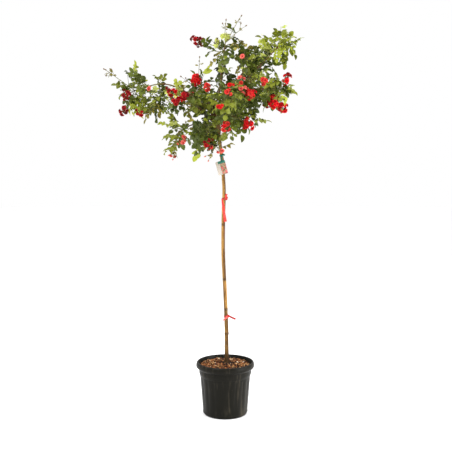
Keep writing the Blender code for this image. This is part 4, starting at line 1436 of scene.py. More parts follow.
@lru_cache(maxsize=1)
def growth_of_plant():
    """Grows the whole plant once, in the order in which its solids grew."""
    trunk = trunk_shape()
    surface = tree_of([trunk])
    growth = Growth(trunk)
    ends = {}
    for mass in MASSES:
        if mass.cane:
            handles, leaving = cane_handles(mass, surface)
            centres = curve(*handles, CANE_STEPS)
            radii = taper(CANE_RADIUS, CANE_TIP_RADIUS, len(centres))
            growth.canes[mass.name] = tube(centres, radii, CANE_SIDES, leaving)
            dressed = Limb(curve(*handles, 30), CANE_RADIUS, CANE_TIP_RADIUS, "cane")
            growth.limbs[mass.name].append(dressed)
            heading = (centres[-1] - centres[-2]).normalized()
            ends[mass.name] = (centres[-1] + heading * GAP, heading)
        else:
            centre = Vector(mass.centre)
            root = trunk_centre(min(max(mass.centre[2] + 0.01, 1.37), 1.52))
            heading = (centre - root).normalized()
            far = seat(surface, root, heading, CANE_TIP_RADIUS)
            ends[mass.name] = (root + heading * far, heading)
    stems = {mass.name: grow_stem(mass, *ends[mass.name], growth) for mass in MASSES}
    shoots = {mass.name: grow_shoots(mass, stems[mass.name], growth) for mass in MASSES}
    twigs = {mass.name: grow_twigs(mass, stems[mass.name], growth) for mass in MASSES}
    for mass in MASSES:
        grow_leaves(mass, stems[mass.name], shoots[mass.name], twigs[mass.name], growth)
    for mass in MASSES:
        grow_fine_twigs(mass, growth)
        grow_cane_sprigs(mass, growth)
    grow_graft_sprigs(growth)
    for name, leaves in growth.leaves.items():
        growth.leaves[name] = [made for made in leaves if not hides_label(made)]
    return growth


# Pot.


def smooth_run(stations, steps):
    """A smooth line through stations, a few steps between each two, through all of them."""
    stations = np.array(stations, float)
    padded = np.concatenate([stations[:1], stations, stations[-1:]])
    run = []
    for index in range(1, len(padded) - 2):
        before, low, high, after = padded[index - 1 : index + 3]
        for step in range(steps):
            t = step / steps
            bend = (2 * before - 5 * low + 4 * high - after) * t**2
            twist = (3 * low - before - 3 * high + after) * t**3
            run.append(0.5 * (2 * low + (high - before) * t + bend + twist))
    run.append(stations[-1])
    return run


def body_radius(height):
    low = 0.030
    return BASE_RADIUS + (BODY_RADIUS - BASE_RADIUS) * (height - low) / (BAND_HEIGHTS[0] - low)


def inner_radius(height):
    low, high = BASE_RADIUS - POT_WALL - 0.002, BAND_RADIUS - POT_WALL - 0.002
    knee = BAND_HEIGHTS[1]
    if height <= knee:
        return low + (high - low) * (height - POT_FLOOR) / (knee - POT_FLOOR)
    return high + (MOUTH_RADIUS - high) * (height - knee) / (POT_HEIGHT - knee)


def pot_profile():
    """The wall's section as radius and height, out from the foot, over the rim and in again."""
    corner = BASE_RADIUS - FOOT_RADIUS
    run = [(0.030, 0.0), (0.070, 0.0), (FOOT_RADIUS - 0.004, 0.0), (FOOT_RADIUS, 0.0)]
    for step in range(1, 8):
        angle = math.radians(90 * step / 7)
        inset = corner * (1 - math.sin(angle))
        run.append((BASE_RADIUS - inset, corner * 1.3 * (1 - math.cos(angle))))
    body = [0.020 + 0.006 * step for step in range(31)]
    run += [(body_radius(height), height) for height in body]
    band_low, band_high = BAND_HEIGHTS
    run += [(BODY_RADIUS + 0.0006, band_low - 0.004), (BODY_RADIUS + 0.0022, band_low + 0.001)]
    run += [(BAND_RADIUS - 0.0008, band_low + 0.006), (BAND_RADIUS, band_low + 0.010)]
    run += [(BAND_RADIUS, (band_low + band_high) / 2)]
    run += [(BAND_RADIUS + 0.0004, band_high - 0.003), (BAND_RADIUS + 0.002, band_high)]
    rim = (
        (BAND_RADIUS + 0.006, band_high + 0.001), (0.1465, 0.2415), (0.1502, 0.246),
        (RIM_RADIUS, 0.2520), (0.1512, 0.2580), (0.1500, 0.2640), (0.1474, 0.2695),
        (0.1440, POT_HEIGHT), (0.1412, POT_HEIGHT - 0.0006), (0.1396, POT_HEIGHT - 0.0030),
    )
    run += smooth_run(rim, 3)
    for height in (0.262, 0.250, band_high, 0.200, 0.120, 0.040, 0.008, POT_FLOOR + 0.001):
        run.append((inner_radius(height), height))
    run += [(inner_radius(POT_FLOOR) - 0.001, POT_FLOOR), (0.070, POT_FLOOR), (0.030, POT_FLOOR)]
    return run


def flute_share(height):
    """How deep the flutes are at a height: fading in from halfway up and ending under the band."""
    if height > FLUTE_TOP or height < FLUTE_FOOT:
        return 0.0
    top = min(1.0, (FLUTE_TOP - height) / 0.010)
    return top * (0.25 + 0.75 * min(1.0, max(0.0, (height - 0.03) / 0.10)))


def build_pot():
    """The pot: fluted body, band and rolled rim, with drain holes through its lower edge."""
    own = settings("pot")
    pile = Pile()
    profile = pot_profile()
    outer_to = max(range(len(profile)), key=lambda n: profile[n][1])
    circle = unit_circle(POT_ROUND)
    angles = np.arange(POT_ROUND) * math.tau / POT_ROUND
    flutes = np.clip(0.5 - 0.5 * np.cos(POT_FLUTES * angles), 0, 1) ** 2.0
    levels = []
    for index, (radius, height) in enumerate(profile):
        share = flute_share(height) if index < outer_to else 0.0
        reach = radius - own.flute_depth * share * flutes
        levels.append(np.column_stack([circle * reach[:, None], np.full(POT_ROUND, height)]))
    points = np.concatenate([*levels, [[0, 0, 0]], [[0, 0, POT_FLOOR]]])
    count = len(levels)
    faces = grid_faces(count, POT_ROUND, closed=True).tolist()
    under = count * POT_ROUND
    floor = under - POT_ROUND
    for side in range(POT_ROUND):
        beside = (side + 1) % POT_ROUND
        faces.append((beside, side, under, -1))
        faces.append((floor + side, floor + beside, under + 1, -1))
    pile.add(points, np.array(faces))
    pot = pile.build("pot_shell", [plastic_finish()])
    cut_drains(pot)
    pot.data.set_sharp_from_angle(angle=POT_SHARP)
    return finished(pot, "pot_plastic", "pot")


def cut_drains(pot):
    """Cuts the drain holes through the lower edge with rounded blocks."""
    width, depth, height = DRAIN_SIZE
    pile = Pile()
    around = unit_circle(16)
    arch = np.column_stack([around[:, 0] * width / 2 * 1.1, np.maximum(around[:, 1], -0.6) * height])
    for index in range(DRAIN_HOLES):
        bearing = DRAIN_FIRST + index * math.tau / DRAIN_HOLES - math.pi / 2
        out = np.array((math.cos(bearing), math.sin(bearing), 0))
        across = np.array((-out[1], out[0], 0))
        rows = []
        for reach in (BASE_RADIUS - depth / 4, BASE_RADIUS + depth / 2):
            rows.append(out * reach + arch[:, :1] * across + arch[:, 1:] * np.array((0, 0, 1.0)))
        points = np.concatenate([*rows, [rows[1].mean(axis=0)], [rows[0].mean(axis=0)]])
        pile.add(points, tube_faces(2, 16))
    cutter = pile.build("drain_cutters", [])
    cut = pot.modifiers.new("drain", "BOOLEAN")
    cut.operation = "DIFFERENCE"
    cut.object = cutter
    cut.solver = "MANIFOLD"
    graph = bpy.context.evaluated_depsgraph_get()
    graph.update()
    mesh = bpy.data.meshes.new_from_object(pot.evaluated_get(graph))
    old = pot.data
    pot.modifiers.clear()
    pot.data = mesh
    bpy.data.meshes.remove(old)
    bpy.data.objects.remove(cutter)


# Mulch.

BED_SUNK = 0.0035  # how far the bed lies below the solid's top, under its chips
BED_ROUND = 96  # faces round the bed
BED_RINGS = 18
FOOT_SHADE = 0.040  # how far from the trunk the chips with painted shadow lie
CHIP_WIDTHS = (0.18, 0.46)  # of a chip's length
CHIP_THICKNESSES = (0.0008, 0.0026)
CHIP_CORNERS = np.array([(a, b, c) for a in (-1, 1) for b in (-1, 1) for c in (-1, 1)], float)
CHIP_FACES = np.array(
    [(0, 1, 3, 2), (4, 6, 7, 5), (0, 4, 5, 1), (2, 3, 7, 6), (0, 2, 6, 4), (1, 5, 7, 3)]
)


def mulch_height(x, y):
    """The height of the bed: a low mound with lumps."""
    reach = min(1.0, math.hypot(x, y) / inner_radius(MULCH_EDGE))
    mound = MULCH_EDGE + (MULCH_CROWN - MULCH_EDGE) * (1 - reach * reach)
    coarse = noise.noise(Vector((x * 45, y * 45, 3))) * 0.0022
    fine = noise.noise(Vector((x * 130, y * 130, 8))) * 0.0012
    return mound - BED_SUNK + (coarse + fine)


def add_bed(pile, edge):
    """The mix itself: down to the pot's floor, with an uneven top out to its edge."""
    circle = unit_circle(BED_ROUND)
    levels = []
    for height in (POT_FLOOR + GAP, 0.12, BAND_HEIGHTS[1], MULCH_EDGE - 0.006):
        reach = inner_radius(height) - GAP * 1.5
        levels.append(np.column_stack([circle * reach, np.full(BED_ROUND, height)]))
    for step in range(BED_RINGS):
        reach = edge * (1 - step / (BED_RINGS + 0.5))
        rows = [(x * reach, y * reach, mulch_height(x * reach, y * reach)) for x, y in circle]
        levels.append(np.array(rows))
    points = np.concatenate([*levels, [[0, 0, MULCH_CROWN - 0.003]], [[0, 0, POT_FLOOR + GAP]]])
    pile.add(points, tube_faces(len(levels), BED_ROUND))


def add_chip(pile, edge, rng):
    """One loose chip: a ragged, tilted sliver. It is left out where it would touch the trunk."""
    big = rng.random() ** 1.6
    length = settings("mulch").chip_length * (0.28 + 0.72 * big)
    wide = length * rng.uniform(*CHIP_WIDTHS)
    thick = rng.uniform(*CHIP_THICKNESSES)
    bearing = rng.uniform(0, math.tau)
    most = edge - 0.002 - length * 0.45
    reach = math.sqrt(rng.uniform(0.0, 1.0)) * most
    x, y = reach * math.cos(bearing), reach * math.sin(bearing)
    from_trunk = math.hypot(x - TRUNK_STATIONS[0][1], y) - TRUNK_STATIONS[0][2]
    if from_trunk < 0.001 + length * 0.3:
        return
    shape = CHIP_CORNERS * (length / 2, wide / 2, thick / 2)
    shape[:, 1] *= np.where(CHIP_CORNERS[:, 0] > 0, rng.uniform(0.3, 0.9), 1)
    shape[:, 2] *= np.where(CHIP_CORNERS[:, 0] > 0, rng.uniform(0.4, 1), 1)
    ragged = np.array([scatter(rng, 1) for _ in CHIP_CORNERS])
    shape += ragged * (length * 0.05, wide * 0.12, 0.0003)
    turn = Matrix.Rotation(rng.uniform(0, math.tau), 3, "Z")
    turn = turn @ Matrix.Rotation(rng.gauss(0, 0.50), 3, "X")
    turn = turn @ Matrix.Rotation(rng.gauss(0, 0.30), 3, "Y")
    place = np.array((x, y, mulch_height(x, y) + 0.0022 + rng.uniform(0, 0.0045)))
    tone = rng.choices(range(len(CHIP_TONES)), [share for _, _, share in CHIP_TONES])[0]
    # Chips near the trunk take the dark tone: painted shadow round its foot.
    if rng.random() < 1 - from_trunk / FOOT_SHADE:
        tone = FOOT_SHADOW_TONE
    pile.add(shape @ np.array(turn).T + place, CHIP_FACES, 1 + tone)


def build_mulch():
    """The bed of damp mix down to the pot's floor, and loose bark chips over it."""
    rng = random.Random(f"chips {SEED}")
    pile = Pile()
    edge = inner_radius(MULCH_EDGE) - GAP * 2
    add_bed(pile, edge)
    for _ in range(settings("mulch").chips):
        add_chip(pile, edge, rng)
    finishes = [soil_finish()] + [chip_finish(name, colour) for name, colour, _ in CHIP_TONES]
    return finished(pile.build("mulch_bed", finishes, 30), "bark_mulch", "potting_mix")


# Trunk.

GRAFT_SWELLS_FROM = 1.42  # the height where the graft's knobs begin
GRAFT_SWELLS_OVER = 0.06  # and over how much more they reach their full size
# Old pruning scars and the graft's lumps: height, bearing in degrees and size.
PRUNING_SCARS = (
    (0.352, 200, 0.9), (0.418, 320, 1.0), (0.545, 30, 0.8), (0.702, 250, 0.9), (0.860, 120, 0.7),
    (0.985, 300, 0.9), (1.060, 60, 0.8), (1.215, 215, 0.8), (1.318, 330, 0.9),
)
GRAFT_LUMPS = ((1.505, 250, 1.6), (1.522, 20, 1.8), (1.548, 120, 1.7), (1.560, 310, 1.5))


def away(height, out, middle, bearing, tall, narrow):
    """How far a point of the trunk is from the middle of a scar or lump: 0 there, 1 at its skirt."""
    return ((height - middle) / tall) ** 2 + (1 - out.dot(bearing_vector(bearing))) * narrow


def build_trunk():
    """The bare stem with its root flare, knots, pruning scars and the swollen graft."""
    own = settings("stem")
    stations = np.array(smooth_run(TRUNK_STATIONS, 6))
    stations = stations[np.argsort(stations[:, 0])]
    bottom, top = TRUNK_STATIONS[0][0], TRUNK_STATIONS[-1][0]
    count = int((top - bottom) / TRUNK_RING)
    levels = []
    for ring in range(count + 1):
        height = bottom + (top - bottom) * ring / count
        lean = float(np.interp(height, stations[:, 0], stations[:, 1]))
        radius = float(np.interp(height, stations[:, 0], stations[:, 2]))
        graft = min(1.0, max(0.0, (height - GRAFT_SWELLS_FROM) / GRAFT_SWELLS_OVER))
        level = []
        for side in range(TRUNK_ROUND):
            angle = side * math.tau / TRUNK_ROUND
            out = Vector((math.cos(angle), math.sin(angle), 0))
            reach = flared(radius, height, angle)
            long_grain = noise.noise(Vector((out.x * 3.2, out.y * 3.2, height * 9)))
            furrows = noise.noise(Vector((out.x * 9, out.y * 9, height * 22 + 5)))
            knobs = noise.noise(Vector((out.x * 2.2, out.y * 2.2, height * 60 + 9)))
            reach += own.relief * (long_grain * 1.1 + furrows * 0.7) + graft * knobs * 0.0022
            for middle, bearing, size in PRUNING_SCARS:
                far = away(height, out, middle, bearing, 0.0065, 5.0)
                reach += size * 0.0020 * (math.exp(-far) - 0.7 * math.exp(-far * 7))
            for middle, bearing, size in GRAFT_LUMPS:
                far = away(height, out, middle, bearing, 0.014, 3.0)
                reach += size * 0.0016 * math.exp(-far)
            level.append((lean + reach * out.x, reach * out.y, height))
        levels.append(np.array(level))
    close = np.array([(stations[-1, 1], 0, top + 0.002), (TRUNK_STATIONS[0][1], 0, bottom)])
    pile = Pile()
    pile.add(np.concatenate([*levels, close]), tube_faces(len(levels), TRUNK_ROUND))
    return finished(pile.build("trunk_stem", [bark_finish()], 70), "bark", "trunk")


# Wood of the crown.


def wavy(path, rng, reach):
    """A path with a slight random bow, its ends left where they are."""
    path = np.asarray([tuple(point) for point in path], float)
    if len(path) == 2:
        path = path[0] + (path[1] - path[0]) * np.linspace(0, 1, 6)[:, None]
    share = np.sin(np.linspace(0, math.pi, len(path)))[:, None]
    length = np.linalg.norm(path[-1] - path[0])
    side = np.array([rng.uniform(-1, 1), rng.uniform(-1, 1), rng.uniform(-0.2, 1)])
    return path + share * side * length * reach


THORN_FACES = np.array([(0, 1, 4, -1), (1, 2, 4, -1), (2, 3, 4, -1), (3, 0, 4, -1)])
CANE_THORNS = 0.022  # between thorns
STEM_THORNS = 0.026
TWIG_BOW = 0.035  # of a twig's length


def add_thorns(pile, path, radii, rng, spacing, finish):
    """Small hooked thorns along a cane, by turns round it."""
    right, up = frames_along(path)
    length = np.linalg.norm(np.diff(path, axis=0), axis=1).sum()
    count = int(length / spacing)
    for index in range(count):
        where = 1 + (len(path) - 2) * (index + rng.uniform(0.2, 0.8)) / max(1, count)
        low = int(where)
        angle = index * GOLDEN_ANGLE + rng.uniform(-0.4, 0.4)
        out = right[low] * math.cos(angle) + up[low] * math.sin(angle)
        along = path[min(low + 1, len(path) - 1)] - path[low]
        along = along / (np.linalg.norm(along) + 1e-9)
        base = path[low] + out * radii[low] * 0.85
        size = rng.uniform(0.0030, 0.0055)
        side = np.cross(along, out)
        points = (
            base + along * size * 0.55,
            base + side * size * 0.20,
            base - along * size * 0.55,
            base - side * size * 0.20,
            base + out * size - along * size * 0.35,
        )
        pile.add(np.array(points), THORN_FACES, finish)


LIMB_FINISH = {"stem": 0, "shoot": 1, "twig": 1, "fine": 1}
SWOLLEN_JOINTS = 4  # along each cane
LIMB_SIDES = {"cane": 10, "stem": 7, "shoot": 6, "twig": 5, "fine": 4}


def build_canes():
    """The canes from the graft to each mass, with thorns and slightly swollen joints."""
    growth = growth_of_plant()
    pile = Pile()
    nodes = []
    for mass in MASSES:
        rng = seeded(mass, "cane dress")
        for limb in growth.limbs[mass.name]:
            if limb.kind != "cane":
                continue
            path = np.array([tuple(point) for point in limb.path])
            radii = np.array(taper(limb.first, limb.last * 0.72, len(path)))
            radii[:3] *= (1.32, 1.16, 1.05)
            for _ in range(SWOLLEN_JOINTS):
                radii[rng.randrange(4, len(path) - 2)] *= 1.14
            root = path[0] - (path[1] - path[0]) / np.linalg.norm(path[1] - path[0]) * 0.004
            path = np.concatenate([[root], path])
            radii = np.concatenate([[radii[0] * 1.1], radii])
            add_tube(pile, path, radii, LIMB_SIDES["cane"])
            add_thorns(pile, path, radii, rng, CANE_THORNS, 1)
            nodes.append("bough_" + mass.name)
    finishes = [cane_finish(), green_finish("thorn", (0.52, 0.30, 0.20), 0.5)]
    return finished(pile.build("canes", finishes, 60), "bark", *nodes)


def build_twigs():
    """Stems, shoots and twigs of every mass."""
    growth = growth_of_plant()
    pile = Pile()
    for mass in MASSES:
        rng = seeded(mass, "twig dress")
        for limb in growth.limbs[mass.name]:
            if limb.kind == "cane":
                continue
            path = wavy(limb.path, rng, 0.0 if limb.kind == "stem" else TWIG_BOW)
            radii = np.array(taper(limb.first, limb.last, len(path)))
            add_tube(pile, path, radii, LIMB_SIDES[limb.kind], LIMB_FINISH[limb.kind])
            if limb.kind in ("stem", "shoot"):
                add_thorns(pile, path, radii, rng, STEM_THORNS, 2)
    green = green_finish("green_twig", (0.44, 0.45, 0.20))
    finishes = [cane_finish(), green, green_finish("twig_thorn", (0.56, 0.30, 0.22), 0.5)]
    return finished(pile.build("twigs", finishes, 60), "foliage")


# Leaves.

LEAFLET_ROWS = 13
SHADED_WITHIN = 0.55  # of a mass's reach from its centre


@lru_cache(maxsize=1)
def leaflet_template():
    """A leaflet a unit long: folded at its rib, toothed, arched and pointed."""
    points, places = [], []
    for row in range(LEAFLET_ROWS):
        v = row / (LEAFLET_ROWS - 1)
        outline = 0.41 * math.sin(math.pi * min(1.0, v**0.90)) ** 0.66
        outline = max(outline, 0.012) * (1.07 if row % 2 else 0.93)
        arch = 0.10 * math.sin(math.pi * v * 0.9) - 0.16 * v * v
        for u in (-1, 0, 1):
            lift = 0.30 * outline * abs(u)
            points.append((outline * u, v + (0.02 if u and row % 2 else 0), arch + lift))
            places.append((u, v))
    return np.array(points), grid_faces(LEAFLET_ROWS, 3), np.array(places)


# For each number of leaflets in a leaf: how far along each pair is, and its size.
LEAF_PLANS = {
    3: ((0.46, 0.86),),
    5: ((0.34, 0.82), (0.68, 0.98)),
    7: ((0.26, 0.74), (0.50, 0.92), (0.76, 0.98)),
}
RIB_LENGTHS = {3: 1.00, 5: 1.60, 7: 2.10}  # in leaflet lengths, by the same number
RIB_RADII = (0.00085, 0.0007, 0.0006, 0.0005)


def shaded_tone(mass, made):
    """A leaf's tone. Deep in a mass it is the one before in the list: darker, but for olive."""
    offset = [(a - b) / c for a, b, c in zip(made.root, mass.centre, mass.reach)]
    return max(0, made.tone - 1) if math.hypot(*offset) < SHADED_WITHIN else made.tone


def add_leaf(pile, stalks, mass, made, rng):
    """One compound leaf: a drooping rib with pairs of leaflets and one at its end."""
    own = settings("foliage")
    heading = np.array(made.heading)
    facing = made.facing * 0.6 + UP * 0.5 + Vector(scatter(rng, 0.28))
    across = np.cross(heading, facing)
    across /= np.linalg.norm(across) + 1e-9
    lift = np.cross(across, heading)
    leaflet = own.leaflet_length * made.size * rng.uniform(0.90, 1.15)
    many = rng.choices((3, 5, 7), (2, 7, 3) if made.size > 0.8 else (4, 6, 0))[0]
    rib = leaflet * RIB_LENGTHS[many]
    tone = shaded_tone(mass, made)
    bow = rng.uniform(-0.12, 0.12)
    droop = own.leaf_droop * rng.uniform(0.5, 1.5)

    def rib_point(t):
        fall = np.array((0, 0, -1.0)) * droop * t * t
        return np.array(made.root) + heading * rib * t + (across * bow * t * t + fall) * rib

    path = np.array([rib_point(t) for t in (0, 0.3, 0.65, 1.0)])
    add_tube(stalks, path, RIB_RADII, 3)
    points, faces, places = leaflet_template()
    ahead = rib_point(1.0) - rib_point(0.8)
    ahead /= np.linalg.norm(ahead)
    blades = [(1.0, 1.0, 0.0)]
    for where, size in LEAF_PLANS[many]:
        blades += [(where, size, side * rng.uniform(0.85, 1.15)) for side in (-1, 1)]
    for where, size, angle in blades:
        along = ahead * math.cos(angle) + across * math.sin(angle)
        along = along + scatter(rng, 0.07) - (0, 0, 0.10 * abs(angle))
        along /= np.linalg.norm(along)
        normal = lift + scatter(rng, 0.32)
        side = np.cross(along, normal)
        side /= np.linalg.norm(side) + 1e-9
        normal = np.cross(side, along)
        long = leaflet * size * rng.uniform(0.92, 1.08)
        wide = long * rng.uniform(0.80, 0.98)
        curl = rng.uniform(0.4, 1.5)
        shape = points * (wide, long, long * curl)
        blade = shape[:, :1] * side + shape[:, 1:2] * along + shape[:, 2:] * normal
        pile.add(rib_point(where) + blade, faces, tone, places)


SIDES = ("left", "back", "right")


def side_of(mass):
    """The side of the crown that a mass is on. The largest pieces are divided by side."""
    x, y, _ = mass.centre
    return "back" if y >= 0.15 else "left" if x < -0.10 else "right"


def masses_on(side):
    return [mass for mass in MASSES if side_of(mass) == side]


def build_leaves():
    """Every leaf, in pieces by the side of the crown it is on, and the leaves' stalks."""
    growth = growth_of_plant()
    finishes = [leaf_finish(name, colour) for name, colour in LEAF_TONES.items()]
    stalks = Pile()
    for side in SIDES:
        pile = Pile()
        nodes = []
        for mass in masses_on(side):
            nodes.append("foliage_" + mass.name)
            rng = seeded(mass, "leaf dress")
            for made in growth.leaves[mass.name]:
                add_leaf(pile, stalks, mass, made, rng)
        finished(pile.build("leaves_" + side, finishes), "foliage", *nodes)
    stalk = green_finish("leaf_stalk", (0.50, 0.50, 0.24))
    finished(stalks.build("leaf_stalks", [stalk]), "foliage")


# Blooms and buds.

PETAL_ROWS = 4
PETAL_COLUMNS = 5
SEPALS = 5
SEPAL_TAPER = (1.0, 0.85, 0.50, 0.10)  # the width of a sepal's rows, of the petal's


@lru_cache(maxsize=None)
def petal_template(length, width, lean_in, lean_out, cup, base):
    """A petal over its own base: it leans from lean_in to lean_out, in degrees, as it goes out."""
    rows, columns = PETAL_ROWS, PETAL_COLUMNS
    reach, height = base, 0.0
    points = []
    for row in range(rows):
        v = row / (rows - 1)
        lean = math.radians(lean_in + (lean_out - lean_in) * v)
        if row:
            reach += math.sin(lean) * length / (rows - 1)
            height += math.cos(lean) * length / (rows - 1)
        spread = 0.35 + 0.65 * math.sin(math.pi * (0.12 + 0.60 * v))
        half = width / 2 * spread * (0.93 if row == rows - 1 else 1)
        for column in range(columns):
            u = column / (columns - 1) * 2 - 1
            tuck = cup * u * u * half
            notch = -0.10 * length * u * u * v
            if row == rows - 1:
                notch = -0.05 * length * (1 - abs(u))
            out = reach - tuck + notch * math.sin(lean)
            points.append((out, u * half, height + notch * math.cos(lean)))
    return np.array(points), grid_faces(rows, columns)


# Whorls of petals, outermost first: how many, length, width, lean at base and edge, cup, base.
WHORLS = (
    (6, 0.94, 1.04, 60, 116, 0.10, 0.10),
    (6, 0.88, 0.96, 46, 90, 0.20, 0.08),
    (6, 0.80, 0.86, 32, 62, 0.34, 0.07),
    (5, 0.74, 0.74, 20, 32, 0.50, 0.06),
    (4, 0.68, 0.60, 10, -14, 0.66, 0.05),
    (3, 0.62, 0.50, 4, -48, 0.80, 0.03),
)
HEART_FROM = 4  # the first whorl that is all in the inner colour
CROWDING = {  # by tint, how often each further bloom stands beside one
    "scarlet": (0.95, 0.80, 0.45),
    "crimson": (0.90, 0.45),
    "maroon": (0.90, 0.45),
    "coral": (0.65, 0.20),
    "salmon": (0.45,),
    "blush": (0.30,),
    "russet": (),
}


def axes_on(heading, spin):
    """A frame on a heading: two axes square to it, turned by spin, and the heading."""
    side = Matrix.Rotation(spin, 3, heading) @ heading.orthogonal().normalized()
    return np.array((side, heading.cross(side), heading))


def spun(x, y, z, angle):
    """Points turned about the third axis."""
    cos_a, sin_a = math.cos(angle), math.sin(angle)
    return np.column_stack([x * cos_a - y * sin_a, x * sin_a + y * cos_a, z])


def add_bloom(petals, greens, made, rng, stalk=1.0):
    """An open double bloom on its stalk, with a small hip and turned back sepals."""
    radius = settings("bloom").radius * made.size
    axes = axes_on(made.heading, rng.uniform(0, math.tau))
    foot = np.array(made.foot)
    seat_at = foot + axes[2] * (BLOOM_LENGTH * BLOOM_WAIST - 0.004) * stalk
    opened = rng.uniform(0.72, 1.06)
    for whorl, (count, long, wide, lean_in, lean_out, cup, base) in enumerate(WHORLS):
        points, faces = petal_template(long, wide, lean_in, lean_out, cup, base)
        for index in range(count):
            angle = (index + rng.uniform(-0.15, 0.15) + whorl * 0.5) * math.tau / count
            tilt = (opened - 1) * 0.8 + rng.uniform(-0.20, 0.20)
            cos_t, sin_t = math.cos(tilt), math.sin(tilt)
            x, y, z = points[:, 0], points[:, 1], points[:, 2]
            x, z = x * cos_t + z * sin_t, z * cos_t - x * sin_t
            local = spun(x, y, z, angle)
            local *= radius * rng.uniform(0.86, 1.12)
            inner = whorl >= HEART_FROM or rng.random() < 0.20
            petals.add(seat_at + local @ axes, faces, made.tint * 2 + inner)
    core = [seat_at + axes[2] * radius * share for share in (0.05, 0.25, 0.45, 0.58, 0.62)]
    add_tube(petals, core, np.array((0.16, 0.24, 0.25, 0.17, 0.05)) * radius, 6, made.tint * 2)
    hip = [seat_at - axes[2] * d for d in (0.0065, 0.0050, 0.0030, 0.0005, -0.0015)]
    add_tube(greens, hip, (0.0010, 0.0022, 0.0027, 0.0030, 0.0020), 6, 1)
    add_sepals(greens, seat_at - axes[2] * 0.001, axes, 0.0085, 95)
    middle = (foot + seat_at) / 2 + axes[0] * 0.0008
    add_tube(greens, [foot, middle, hip[0]], (0.0010, 0.0009, 0.0010), 4, 0)


def add_sepals(greens, place, axes, length, lean):
    """Five sepals round a place, leaning out by so many degrees at their tips."""
    points, faces = petal_template(1.0, 0.34, lean - 45, lean, 0.15, 0.15)
    x, z = points[:, 0], points[:, 2]
    y = points[:, 1] * np.repeat(SEPAL_TAPER, PETAL_COLUMNS)
    for index in range(SEPALS):
        local = spun(x, y, z, index * math.tau / SEPALS)
        greens.add(place + local * length @ axes, faces, 1)


def add_bud(petals, greens, made, rng):
    """A closed bud on a thin stalk: pointed petals just showing between its sepals."""
    long = settings("bloom").bud_length * made.size
    axes = axes_on(made.heading, rng.uniform(0, math.tau))
    foot = np.array(made.foot)
    neck = foot + axes[2] * (BUD_LENGTH - long - 0.003)
    bow = axes[0] * rng.uniform(-0.002, 0.002)
    add_tube(greens, [foot, (foot + neck) / 2 + bow, neck], (0.0012, 0.0010, 0.0010), 4, 0)
    line = [neck + axes[2] * long * share for share in (0.0, 0.16, 0.34, 0.5, 0.68, 0.84, 1.0)]
    add_tube(greens, line[:4], (0.0012, 0.0028, 0.0034, 0.0030), 6, 1)
    add_tube(petals, line[2:], (0.0032, 0.0035, 0.0030, 0.0018, 0.0004), 6, made.tint * 2)
    add_sepals(greens, neck + axes[2] * long * 0.16, axes, long * 0.62, 28)


def dress_shoots(petals, greens, mass):
    """A mass's blooms, most with smaller ones beside them, and its buds."""
    growth = growth_of_plant()
    rng = seeded(mass, "bloom dress")
    for made in growth.flowers[mass.name]:
        add_bloom(petals, greens, made, rng)
        for share in CROWDING[TINT_NAMES[made.tint]]:
            heading = turned(made.heading, rng.uniform(0.55, 1.15), rng.uniform(0, math.tau))
            beside = Flower(made.foot, heading, made.tint, made.size * rng.uniform(0.60, 0.90))
            if rng.random() < share:
                add_bloom(petals, greens, beside, rng, rng.uniform(1.0, 1.7))
    for made in growth.buds[mass.name]:
        add_bud(petals, greens, made, rng)


def build_blooms():
    """Every bloom and bud: petals in pieces by side, and stalks, hips and sepals in another."""
    finishes = []
    for name, (outer, heart) in BLOOM_TINTS.items():
        finishes += [petal_finish(name, outer), petal_finish(name + "_heart", heart)]
    greens = Pile()
    for side in SIDES:
        petals = Pile()
        for mass in masses_on(side):
            dress_shoots(petals, greens, mass)
        finished(petals.build("petals_" + side, finishes), "foliage")
    stalk = green_finish("bloom_stalk", (0.46, 0.42, 0.20))
    sepal = green_finish("sepal", (0.40, 0.42, 0.18))
    finished(greens.build("bloom_stalks", [stalk, sepal]), "foliage")


# Ties and label.


def add_ribbon(pile, path, across, width, thickness, finish=0):
    """A strip of tape along a path, with thin edges. across may be one vector or one a point."""
    path = np.asarray(path, float)
    ahead = np.gradient(path, axis=0)
    ahead /= np.linalg.norm(ahead, axis=1, keepdims=True)
    across = np.broadcast_to(np.asarray(across, float), path.shape)
    side = across - ahead * (across * ahead).sum(axis=1, keepdims=True)
    side /= np.linalg.norm(side, axis=1, keepdims=True)
    out = np.cross(side, ahead)
    width = np.broadcast_to(np.asarray(width, float), (len(path),))[:, None]
    rows = []
    for u, t in ((-1, 0), (-0.5, -1), (0, -1), (0.5, -1), (1, 0), (0.5, 1), (0, 1), (-0.5, 1)):
        rows.append(path + side * width / 2 * u + out * thickness / 2 * t)
    levels = np.stack(rows, axis=1)
    points = np.concatenate([levels.reshape(-1, 3), path[-1:], path[:1]])
    pile.add(points, tube_faces(len(path), 8), finish)


WRAP_STEPS = 40  # round the trunk


def wrap_points(height, reach, last, rise):
    """Points round the trunk from +X to a last bearing in degrees, climbing by rise."""
    centre = trunk_centre(height)
    points = []
    for step in range(WRAP_STEPS + 1):
        part = step / WRAP_STEPS
        angle = math.radians(last * part)
        x, y = centre.x + reach * math.cos(angle), reach * math.sin(angle)
        points.append((x, y, height + rise * (part - 0.5)))
    return np.array(points)


TAPE_FILM = 0.0005  # how thick the tape is where it hangs free
KNOT_LOOPS = 4
KNOT_TAPE = 0.0055  # how wide the pinched tape is in a knot
TAPE_SHADES = (("tape_fresh", 1.0), ("tape_folded", 0.42), ("tape_stretched", 1.25))


